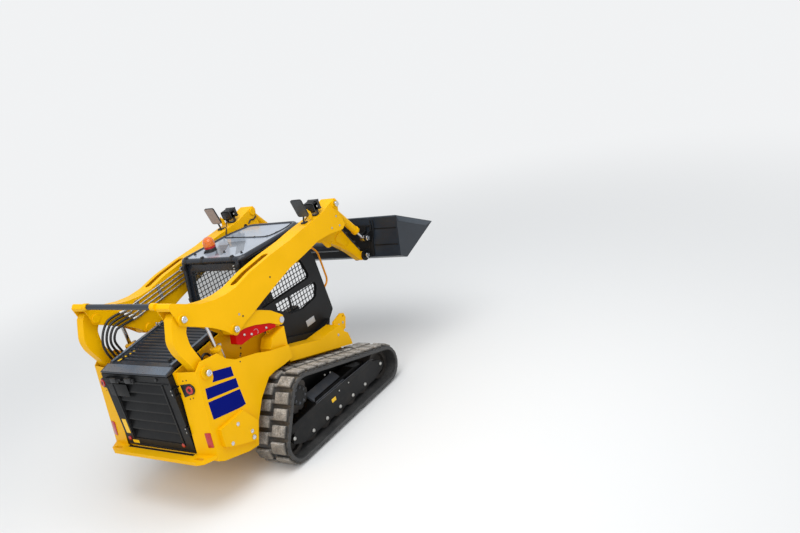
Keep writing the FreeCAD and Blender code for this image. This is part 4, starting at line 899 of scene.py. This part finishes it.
def make_beacon():
    dome, band, base = Batch(), Batch(), Batch()
    dome.lathe(DOME, BEACON, Z, DOME_SIDES, DOME_TURN)
    for step in range(DOME_SIDES):
        angle = 2 * math.pi * step / DOME_SIDES + DOME_TURN
        way = Vector((math.cos(angle), math.sin(angle), 0))
        run = [BEACON + way * reach + Z * z for reach, z in ((0.062, 0.066), (0.062, 0.094), (0.056, 0.120))]
        dome.tube(run, 0.003, 6)
    obj = dome.done("beacon_dome", "amber_plastic", "root", smooth=20)
    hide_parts("beacon")
    band.lathe(((0.060, 0.040), (0.0635, 0.042), (0.0635, 0.057), (0.058, 0.059)), BEACON, Z, 28)
    band.done("beacon_band", "red_plastic", "root")
    base.lathe(((0.061, 0.0), (0.061, 0.030), (0.057, 0.036), (0.057, 0.041)), BEACON, Z, 28)
    base.lathe(((0.064, 0.0), (0.064, 0.006), (0.060, 0.008)), BEACON, Z, 28)
    base.done("beacon_base", "black_plastic", "root")


# Work lights on the arms: middle (x, z), half its length, width and height, and a cable

LIGHT, LIGHT_Y, LIGHT_TILT = (0.452, 2.158), 0.634, -6.8
LIGHT_HALF = (0.062, 0.068, 0.050)
COOLING_RIBS, RIB_START, RIB_PITCH, RIB_THICK = 5, 0.022, 0.014, 0.005
LIGHT_CABLE = ((0.400, 0.634, 2.150), (0.374, 0.630, 2.120), (0.350, 0.618, 2.070), (0.325, 0.600, 2.048))


def make_work_lights():
    shell, lens, steel = Batch(), Batch(), Batch()
    turn = tilt(LIGHT_TILT)
    long, wide, high = LIGHT_HALF
    # Steps of the housing: from x, to x, how far it stands out, bevel
    steps = [(-long, long - 0.012, 0.0, 0.030), (long - 0.030, long, 0.006, 0.010)]
    ribs = [RIB_START - long + number * RIB_PITCH for number in range(COOLING_RIBS)]
    steps += [(x, x + RIB_THICK, 0.003, 0.020) for x in ribs]
    for side in SIDES:
        centre = at(LIGHT, side * LIGHT_Y)
        x, y = centre.x, centre.y
        for x0, x1, out, bevel in steps:
            shell.box((x0, -wide - out, -high - out), (x1, wide + out, high + out), bevel, turn, centre)
        lens.box((long - 0.004, 0.006 - wide, 0.006 - high), (long + 0.003, wide - 0.006, high - 0.006),
                 0.003, turn, centre)
        for a in SIDES:
            for b in SIDES:
                corner = Vector((long, a * (wide - 0.001), b * (high - 0.001)))
                steel.bolt(centre + turn @ corner, X, 0.004, 0.003)
            shell.box((-0.018, -0.003, 2.058), (0.018, 0.003, 2.130), 0.002, centre=(x, y + a * 0.058, 0))
            steel.bolt((x, y + a * 0.074, 2.155), Y * a, 0.007, 0.006)
        steel.bolt((x, y - 0.010, 2.064), Z, 0.010, 0.008)
        shell.tube([(a, side * b, c) for a, b, c in LIGHT_CABLE], 0.005, 8)
    shell.side_boxes((LIGHT[0] - 0.028, -0.060, 2.052), (LIGHT[0] + 0.028, 0.034, 2.064), LIGHT_Y, 0.002)
    obj = shell.done("work_light_shells", "black_plastic", "lift_arms", smooth=40)
    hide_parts("work_lights")
    lens.done("work_light_lenses", "lamp_lens", "lift_arms", "window_glass")
    steel.done("work_light_bolts", "zinc_steel", "lift_arms")


# Mirrors on the arms: the left one shows its face, in a warm grey that is a painted reflection, the right one
# its back

MIRROR = (0.235, 0.662, 2.213)
MIRROR_WIDE, MIRROR_HIGH, MIRROR_THICK = 0.150, 0.212, 0.014
MIRROR_RIM, MIRROR_LEAN = 0.010, -15.8
MIRROR_FINISH = {1: "mirror_face", -1: "mirror_back"}
MIRROR_FOOT = (0.638, 2.036)            # y, z
BRACKET = ((0.0, -0.060), (0.060, -0.052), (0.052, 0.010), (0.006, 0.060))
ARM_CABLE = ((0.275, 0.600, 2.050), (0.262, 0.545, 2.062), (0.245, 0.528, 2.040), (0.215, 0.529, 1.990),
             (0.190, 0.529, 1.935), (0.150, 0.529, 1.905))


def rounded_plate(batch, centre, up, normal, wide, high, thick, radius, steps=5):
    """Upright plate across the machine, with rounded corners."""
    points = []
    for a, b, start in ((1, 1, 0), (-1, 1, 90), (-1, -1, 180), (1, -1, 270)):
        for step in range(steps + 1):
            turn = unit(math.radians(start + 90 * step / steps)) * radius
            across, rise = a * (wide / 2 - radius) + turn.x, b * (high / 2 - radius) + turn.z
            points.append(centre + Y * across + up * rise)
    batch.plate(points, normal, thick)


def make_mirrors():
    body, brackets, cable = Batch(), Batch(), Batch()
    turn = tilt(MIRROR_LEAN)
    ahead, up = turn @ X, turn @ Z
    for side, name in SIDE_NAMES.items():
        x, y, z = MIRROR
        centre = Vector((x, side * y, z))
        rounded_plate(body, centre - ahead * 0.007, up, ahead, MIRROR_WIDE, MIRROR_HIGH, MIRROR_THICK, 0.022)
        face = Batch()
        rounded_plate(face, centre - ahead * 0.0085, up, ahead, MIRROR_WIDE - MIRROR_RIM,
                      MIRROR_HIGH - MIRROR_RIM, 0.003, 0.018)
        face.done("mirror_face_" + name, MIRROR_FINISH[side], "lift_arms", "black_plastic")
        low = centre - up * (MIRROR_HIGH / 2)
        foot = Vector((low.x, side * MIRROR_FOOT[0], MIRROR_FOOT[1]))
        back = centre + ahead * 0.014
        body.tube([foot, foot + Z * 0.030, low + up * 0.030 + ahead * 0.012, back], 0.010)
        body.lathe(((0.018, -0.012), (0.018, 0.012)), back, ahead, 16)
        body.box((-0.026, -0.030, -0.004), (0.028, 0.030, 0.014), 0.003, centre=foot)
        body.bolt(foot + Vector((-0.014, 0.018 * side, 0.014)), Z, 0.006, 0.006)
        corner = low + ahead * 0.030 - Y * 0.035
        brackets.plate([corner + at(p, 0) for p in BRACKET], Y, 0.006, 0.001)
    cable.tube(spline_line(ARM_CABLE), 0.006, 8)
    obj = body.done("mirror_shells", "black_plastic", "lift_arms")
    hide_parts("mirrors")
    brackets.done("mirror_brackets", "yellow_paint", "lift_arms")
    cable.done("arm_cable", "painted_hole_shade_and_cable_black", "lift_arms", "hose_rubber")


# Lift arms: dark discs of painted shade for holes, and bolts in their faces, plates, ribs and hoses on their
# legs

ARM_HOLES, CABLE_HOLE = ((-0.528, 1.763), (-1.019, 1.574)), (0.544, 1.955)
ARM_BOLTS = ((-1.057, 1.611), (0.702, 1.838), (0.688, 1.951), (0.569, 1.858))
GUSSET = ((0.917, 1.690), (0.990, 1.551), (0.947, 1.510), (0.871, 1.542), (0.771, 1.626), (0.782, 1.671),
          (0.857, 1.696))
HOOK = ((0.553, 1.715), (0.615, 1.622), (0.640, 1.603), (0.690, 1.600), (0.700, 1.650), (0.640, 1.700))
LEG_RIBS = (((0.705, 1.651), (0.894, 1.507), (1.059, 1.340)),
            ((0.800, 1.569), (0.950, 1.440), (1.090, 1.280)))
LEG_OUT = 0.535
LEG_HOSE = ((0.915, 1.740), (0.945, 1.690), (1.028, 1.547), (1.098, 1.437), (1.135, 1.385))
LEG_CLAMPS, CLAMP_TILT = ((1.005, 1.631), (1.095, 1.483)), 61
FRONT_HOSE = ((0.60, 1.975), (0.64, 2.015), (0.70, 1.985), (0.75, 2.020))


def make_arm_details():
    holes, bolts, plates, hoses, steel = Batch(), Batch(), Batch(), Batch(), Batch()
    # Dark discs for the holes: painted shade.
    holes.studs(disc(0.010, 0.0006, -0.002), ARM_HOLES, ARM_OUT, 18)
    holes.studs(disc(0.034, 0.0008, -0.001), (CABLE_HOLE,), ARM_IN, 24, out=-1)
    bolts.bolts(ARM_BOLTS, ARM_OUT, 0.008, 0.005)
    plates.side_plates(GUSSET, LEG_OUT - 0.002, 0.010, 0.002)
    plates.side_plates(HOOK, LEG_OUT - 0.020, 0.014, 0.002)
    for rib in LEG_RIBS:
        plates.side_tubes(rib, LEG_OUT, 0.006, 8)
    for side in SIDES:
        for lift, y in ((0.017, 0.512), (0.020, 0.485)):
            run = [at((x + lift * 0.9, z + lift * 0.5), side * y) for x, z in LEG_HOSE]
            hoses.tube(run, 0.010)
            steel.lathe(((0.0125, -0.012), (0.0125, 0.022)), run[-1], run[-1] - run[-2], 6)
        for place in LEG_CLAMPS:
            hoses.box((-0.012, -0.034, -0.006), (0.012, 0.034, 0.016), 0.003, tilt(CLAMP_TILT),
                      at(place, side * 0.4985))
        hoses.tube(spline_line([at(p, side * 0.530) for p in FRONT_HOSE]), 0.009)
    holes.done("arm_holes", "painted_hole_shade_and_cable_black", "lift_arms", "black_paint")
    bolts.done("arm_bolts", "zinc_steel", "lift_arms")
    plates.done("leg_plates", "yellow_paint", "lift_arms")
    hoses.done("leg_hoses", "hose_rubber", "lift_arms")
    steel.done("leg_hose_ends", "zinc_steel", "lift_arms")


# Red lock on the right link, and the hoses in the right pod's pocket

LOCK_FACE = -0.690
LOCK_BOLTS = ((-1.052, 1.390), (-0.964, 1.350), (-0.760, 1.318))
LOCK_HANDLE, LOCK_HANDLE_R = (-0.904, 1.345), 0.030
POCKET_Y = -0.555
POCKET_HOSES = (((-1.600, 1.330), (-1.595, 1.440), (-1.560, 1.470), (-1.530, 1.420), (-1.520, 1.340)),
                ((-1.545, 1.320), (-1.520, 1.385), (-1.440, 1.405), (-1.405, 1.340)))
SLEEVE = ((0.014, -0.022), (0.016, -0.022), (0.016, 0.022), (0.014, 0.022))


def make_link_details():
    steel, hoses, sleeves = Batch(), Batch(), Batch()
    for place in LOCK_BOLTS:
        steel.lathe(knob(0.013, 0.004, 0.009, 0.009, 0.010), at(place, LOCK_FACE), -Y, 16)
    steel.tube([at(LOCK_HANDLE, LOCK_FACE - 0.001) + unit(math.radians(angle)) * LOCK_HANDLE_R
                for angle in range(-60, 131, 19)], 0.0025, 6)
    steel.done("lock_bolts", "zinc_steel", "front_links")
    for run in POCKET_HOSES:
        line = spline_line([at(p, POCKET_Y) for p in run])
        hoses.tube(line, 0.012, 12)
        sleeves.lathe(SLEEVE, line[-1], line[-1] - line[-2], 8)
    hoses.done("pocket_hoses", "hose_rubber", "root")
    sleeves.done("pocket_fittings", "zinc_steel", "root")


# Lift cylinders: gland at the barrel's top, and the pipe down the barrel

GLAND, GLAND_Y, GLAND_WAY = (-1.386, 1.428), 0.630, Vector((-0.0473, 0, 0.9989))
PIPE_RUN = ((0.012, 0.0), (0.30, 0.0), (0.34, 0.012))        # down the barrel, towards it
GLAND_RINGS = ((0.053, -0.034), (0.056, -0.032), (0.056, -0.004), (0.052, 0.0), (0.030, 0.0), (0.028, 0.006),
               (0.0, 0.006))


def make_cylinder_details():
    steel, glands = Batch(), Batch()
    for side in SIDES:
        top = at(GLAND, side * GLAND_Y)
        glands.lathe(GLAND_RINGS, top, GLAND_WAY, 24)
        foot = top + X * 0.060
        steel.tube([foot - GLAND_WAY * down - X * inward for down, inward in PIPE_RUN], 0.008)
        steel.box((-0.018, -0.014, -0.016), (0.012, 0.014, 0.010), 0.003, centre=foot)
    glands.done("lift_glands", "yellow_paint", "lift_barrels")
    steel.done("lift_cylinder_pipes", "zinc_steel", "lift_barrels")


# Bucket: rings and caps of the coupler's pins, ribs on its back (y, z), bars along its edges and a side band
# in a lighter slate, partly wear and partly a painted highlight

EYE_RING = ((0.034, 0.0), (0.034, 0.005), (0.026, 0.005))
BACK_RIB = ((0.640, 1.665), (0.646, 1.600), (0.627, 1.482), (0.598, 1.400), (0.593, 1.300), (0.560, 1.255))
BUCKET_LIP, BUCKET_EDGE = (1.350, 1.686), (2.004, 1.366)
BUCKET_BAND = ((1.345, 1.686), (2.004, 1.366), (1.860, 1.372), (1.600, 1.500), (1.360, 1.622))


def bucket_back(z):
    return 1.2395 + (z - 1.240) * 0.2389


def make_bucket_details():
    caps, eyes, ribs, rim = Batch(), Batch(), Batch(), Batch()
    caps.studs(PIN_CAP, (PIN_TILT_EYE,), 0.648, 28)
    caps.studs(PIN_CAP, (PIN_BUCKET,), 0.594, 28)
    caps.done("coupler_pin_caps", "chrome", "bucket")
    for y in (0.5725, 0.6225, -0.5775, -0.6275):
        eyes.lathe(EYE_RING, at(PIN_TILT_EYE, y), Y, 24)
    eyes.done("tilt_eye_rings", "orange_paint", "bucket")
    for side in SIDES:
        for inset in (0.0, 0.040):
            ribs.tube([(bucket_back(z) - 0.014, side * (y + inset), z) for y, z in BACK_RIB], 0.007, 8)
    for z in (1.375, 1.560):
        back = bucket_back(z)
        ribs.side_boxes((back - 0.007, -0.165, z - 0.006), (back + 0.002, 0.165, z + 0.006), 0.835, 0.002)
    ribs.done("bucket_ribs", "black_paint", "bucket")
    rim.side_tubes((BUCKET_LIP, BUCKET_EDGE), 1.010, 0.009, 8)
    rim.side_plates(BUCKET_BAND, 1.016, 0.007, 0.001)
    rim.tube([(1.350, -1.005, 1.688), (1.350, 1.005, 1.688)], 0.009, 8)
    rim.done("bucket_rim", "bucket_edge_wear_and_painted_highlight", "bucket", "slate_paint")


# Track frames: taller face plate, tensioner cover and top edge in a bluish grey that is a painted highlight
# of the sky, bolts, and dark plates inside the tracks that paint the shade there

FRAME_TOP = ((-1.075, 0.300), (-1.052, 0.378), (-0.645, 0.392), (0.319, 0.374), (0.398, 0.344),
             (0.342, 0.325), (-0.840, 0.325))
FRAME_EDGE = ((-0.640, 0.392), (0.319, 0.374), (0.396, 0.345))
COVER_X, COVER_SECTION = (-0.600, -0.110), ((0.880, 0.372), (0.745, 0.470), (0.720, 0.450), (0.860, 0.350))
COVER_FACES = ((0, 1, 2, 3), (7, 6, 5, 4), (0, 4, 5, 1), (1, 5, 6, 2), (2, 6, 7, 3), (3, 7, 4, 0))
SMALL_BOLTS, COVER_STUDS = ((-0.267, 0.332), (-0.097, 0.332)), ((-0.244, 0.500), (-0.156, 0.480))
WHEEL_BOLTS = ((-0.786, 0.170), (-0.552, 0.170), (-0.318, 0.170), (-0.084, 0.170), (0.150, 0.170),
               (-1.062, 0.250), (0.491, 0.242))
WHEEL_BOLT = ((0.021, 0.0), (0.021, 0.004), (0.016, 0.010), (0.008, 0.013), (0.0, 0.013))
HUB, HUB_BOLT_R, HUB_BOLTS = (-0.790, 0.582), 0.078, 8
SHADE_PLATE = ((-1.02, 0.19), (0.47, 0.19), (0.56, 0.25), (0.48, 0.36), (0.30, 0.42), (-0.52, 0.58), (-0.62, 0.44),
          (-1.00, 0.34))


def make_track_frames():
    plate, cover, edge, steel, shade_plate = Batch(), Batch(), Batch(), Batch(), Batch()
    plate.side_plates(FRAME_TOP, TRACK_FRAME_FACE - 0.018, 0.0182, 0.002)
    plate.done("frame_plates", "black_paint", "root")
    # Sloped tensioner covers, in the bluish grey of a painted sky highlight.
    for side in SIDES:
        corners = [(x, side * y, z) for x in COVER_X for y, z in COVER_SECTION]
        cover.solid(corners, COVER_FACES, 0.004)
    angles = [math.pi * (2 * step + 1) / HUB_BOLTS for step in range(HUB_BOLTS)]
    hub = [(HUB[0] + HUB_BOLT_R * math.cos(a), HUB[1] + HUB_BOLT_R * math.sin(a)) for a in angles]
    cover.bolts(hub, 0.875, 0.009, 0.009)
    cover.done("tensioner_covers", "frame_painted_sky_highlight", "root", "black_paint")
    # Thin bar along the frame's top edge: a painted highlight.
    edge.side_tubes(FRAME_EDGE, TRACK_FRAME_FACE - 0.002, 0.0035, 6)
    edge.done("frame_edge_painted_highlights", "frame_painted_sky_highlight", "root", "black_paint")
    steel.studs(disc(0.009, 0.005, top=0.007), SMALL_BOLTS, TRACK_FRAME_FACE, 12)
    steel.studs(WHEEL_BOLT, WHEEL_BOLTS, TRACK_FRAME_FACE, 18)
    steel.studs(disc(0.010, 0.008, top=0.010), COVER_STUDS, 0.745, 12)
    steel.done("frame_bolts", "zinc_steel", "root")
    # Black plates inside the tracks: painted shade that hides the floor seen through the running gear.
    shade_plate.side_plates(SHADE_PLATE, 0.596, 0.006)
    shade_plate.done("inner_painted_shade_plates", "black_paint", "root")


# Engine hood: lighter strips on the rails along its sides (x, z) and on a bevel at its rear, a painted
# reflection of the sky; latches and fittings; the door's hinges, and a black strip on the bumper that paints
# the shade of the gap under the door

HOOD_RUN, HOOD_RAIL = ((-1.770, 1.4455), (-1.060, 1.5285)), (0.419, 0.455)
HOOD_BEVEL, HOOD_BEVEL_HALF = ((-1.792, 1.4305), (-1.889, 1.4018)), 0.470
RAIL_FACES = ((0, 1, 3, 2), (4, 6, 7, 5), (0, 4, 5, 1), (2, 3, 7, 6), (1, 5, 7, 3), (0, 2, 6, 4))
HOOD_FILM = 0.0015


def make_hood_details():
    reflection_strips, latches, hinges_and_gap_shade, steel = Batch(), Batch(), Batch(), Batch()
    # Thin lighter strips on the rails and the rear bevel: a painted reflection of the sky.
    for side in SIDES:
        corners = [(x, side * y, z + up) for x, z in HOOD_RUN for y in HOOD_RAIL for up in (0.0, HOOD_FILM)]
        reflection_strips.solid(corners, RAIL_FACES)
    (x0, z0), (x1, z1) = HOOD_BEVEL
    half = HOOD_BEVEL_HALF
    corners = ((x0, -half, z0), (x0, half, z0), (x1, half, z1), (x1, -half, z1))
    reflection_strips.plate(corners, (-0.283, 0, 0.959), HOOD_FILM)
    reflection_strips.done("hood_rail_painted_reflections", "hood_rail_painted_reflection", "engine_hood", "slate_paint")
    for x in (-1.700, -1.640):
        latches.side_boxes((x - 0.016, -0.012, 1.442), (x + 0.016, 0.012, 1.462), 0.345, 0.004)
    latches.done("hood_latches", "black_plastic", "engine_hood")
    for z in (0.820, 1.220):
        for low in (z - 0.0445, z + 0.0305):
            hinges_and_gap_shade.lathe(((0.0145, 0.0), (0.0145, 0.014)), (-1.895, -0.500, low), Z, 18)
            hinges_and_gap_shade.box((-1.896, -0.5125, low), (-1.822, -0.4945, low + 0.014), 0.001)
    # Black strip on the bumper along the foot of the door: painted shade of the gap between door and bumper.
    hinges_and_gap_shade.box((-1.926, -0.478, 0.570), (-1.900, 0.478, 0.5745), 0.001)
    hinges_and_gap_shade.done("hinge_covers_and_painted_gap_shade", "black_paint", "root")
    for y in (0.380, 0.420):
        steel.lathe(knob(0.011, 0.030, 0.007, 0.034), (-1.150, y, 1.525), Z, 12)
    steel.done("hood_fittings", "zinc_steel", "engine_hood")


# Blank labels, and the body's bolts and dark discs of painted shade for its holes, in (x, z)

POD_HOLES, CAB_HOLES = ((-1.234, 1.262), (-1.258, 1.212)), ((-0.997, 1.212), (-1.020, 1.162), (-1.031, 1.122))
NOSE_BOLTS, FENDER_BOLTS = ((0.327, 0.803), (0.401, 0.800)), ((0.193, 0.751),)
LABEL = 0.002


def make_body_details():
    grey, yellow, bolts, holes = Batch(), Batch(), Batch(), Batch()
    grey.box((0.030, -CAB_FACE - LABEL, 0.925), (0.170, -CAB_FACE, 0.995), 0.0006)
    grey.done("cab_label", "label_grey", "root", "zinc_steel")
    yellow.box((-0.415, -TRACK_FRAME_FACE - LABEL, 0.270), (-0.345, -TRACK_FRAME_FACE, 0.310), 0.0006)
    yellow.box((-1.76, 0.335, 1.446), (-1.50, 0.365, 1.446 + LABEL))
    yellow.done("frame_label", "label_yellow", "root", "yellow_paint")
    # Dark discs for the holes: painted shade.
    holes.studs(disc(0.008, 0.0006), POD_HOLES, POD_SKIN, 14)
    holes.studs(disc(0.010, 0.0006), CAB_HOLES, 0.510, 14)
    bolts.bolts(NOSE_BOLTS, 0.625, 0.010, 0.008)
    bolts.bolts(FENDER_BOLTS, 0.700, 0.010, 0.008)
    bolts.done("nose_bolts", "zinc_steel", "root")
    holes.done("body_holes", "painted_hole_shade_and_cable_black", "root", "black_paint")


# Floor, which fades into the sky with distance, sky and lamps: (name, place, size, power)

FLOOR_REACH, FADE = 60.0, (3.0, 11.0)
SKY_STRENGTH = 0.75
AIM = Vector((0, 0, 1.0))
LAMPS = (("overhead", (-1.0, -2.0, 7.5), 6.0, 330.0), ("rear_side", (-7.0, -4.0, 5.0), 5.0, 200.0))


def make_stage():
    mesh = bpy.data.meshes.new("floor")
    corners = [(a * FLOOR_REACH, b * FLOOR_REACH, 0) for a, b in ((-1, -1), (1, -1), (1, 1), (-1, 1))]
    mesh.from_pydata(corners, [], [(0, 1, 2, 3)])
    floor = add_object("floor", mesh)
    n = Finish("floor")
    n.set(Base_Color=(0.78, 0.78, 0.77), Roughness=0.9)
    away = n.add("ShaderNodeVectorMath", {0: n.place}, operation="LENGTH").outputs["Value"]
    inputs = {"Value": away, "From Min": FADE[0], "From Max": FADE[1]}
    share = n.add("ShaderNodeMapRange", inputs, interpolation_type="SMOOTHSTEP").outputs["Result"]
    haze = n.add("ShaderNodeEmission", {"Color": SEEN_SKY}).outputs["Emission"]
    n.feed(n.surface, n.blend(share, n.shader.outputs["BSDF"], haze))
    mesh.materials.append(n.material)

    world = bpy.data.worlds.new("studio")
    bpy.context.scene.world = world
    w = Tree(world, "ShaderNodeOutputWorld")
    rays = w.add("ShaderNodeLightPath").outputs
    direct = w.math("MAXIMUM", rays["Is Camera Ray"], rays["Is Transmission Ray"])
    seen = w.add("ShaderNodeBackground", {"Color": SEEN_SKY}).outputs["Background"]
    light = w.add("ShaderNodeBackground", {"Color": (0.93, 0.96, 1.0), "Strength": SKY_STRENGTH})
    w.feed(w.surface, w.blend(direct, light.outputs["Background"], seen))

    for name, place, size, power in LAMPS:
        data = bpy.data.lights.new(name, "AREA")
        data.size, data.energy = size, power
        place = Vector(place)
        turn = (place - AIM).to_track_quat("Z", "Y").to_matrix().to_4x4()
        add_object(name, data).matrix_world = Matrix.Translation(place) @ turn


make_camera()
make_stage()
make_hoses()
finish_nodes()
make_tracks()
make_cushions()
make_pins()
make_rear()
make_facets()
make_pod_details()
make_roof()
make_beacon()
make_work_lights()
make_mirrors()
make_arm_details()
make_link_details()
make_cylinder_details()
make_bucket_details()
make_track_frames()
make_hood_details()
make_body_details()

bpy.context.scene.view_settings.view_transform = "Standard"
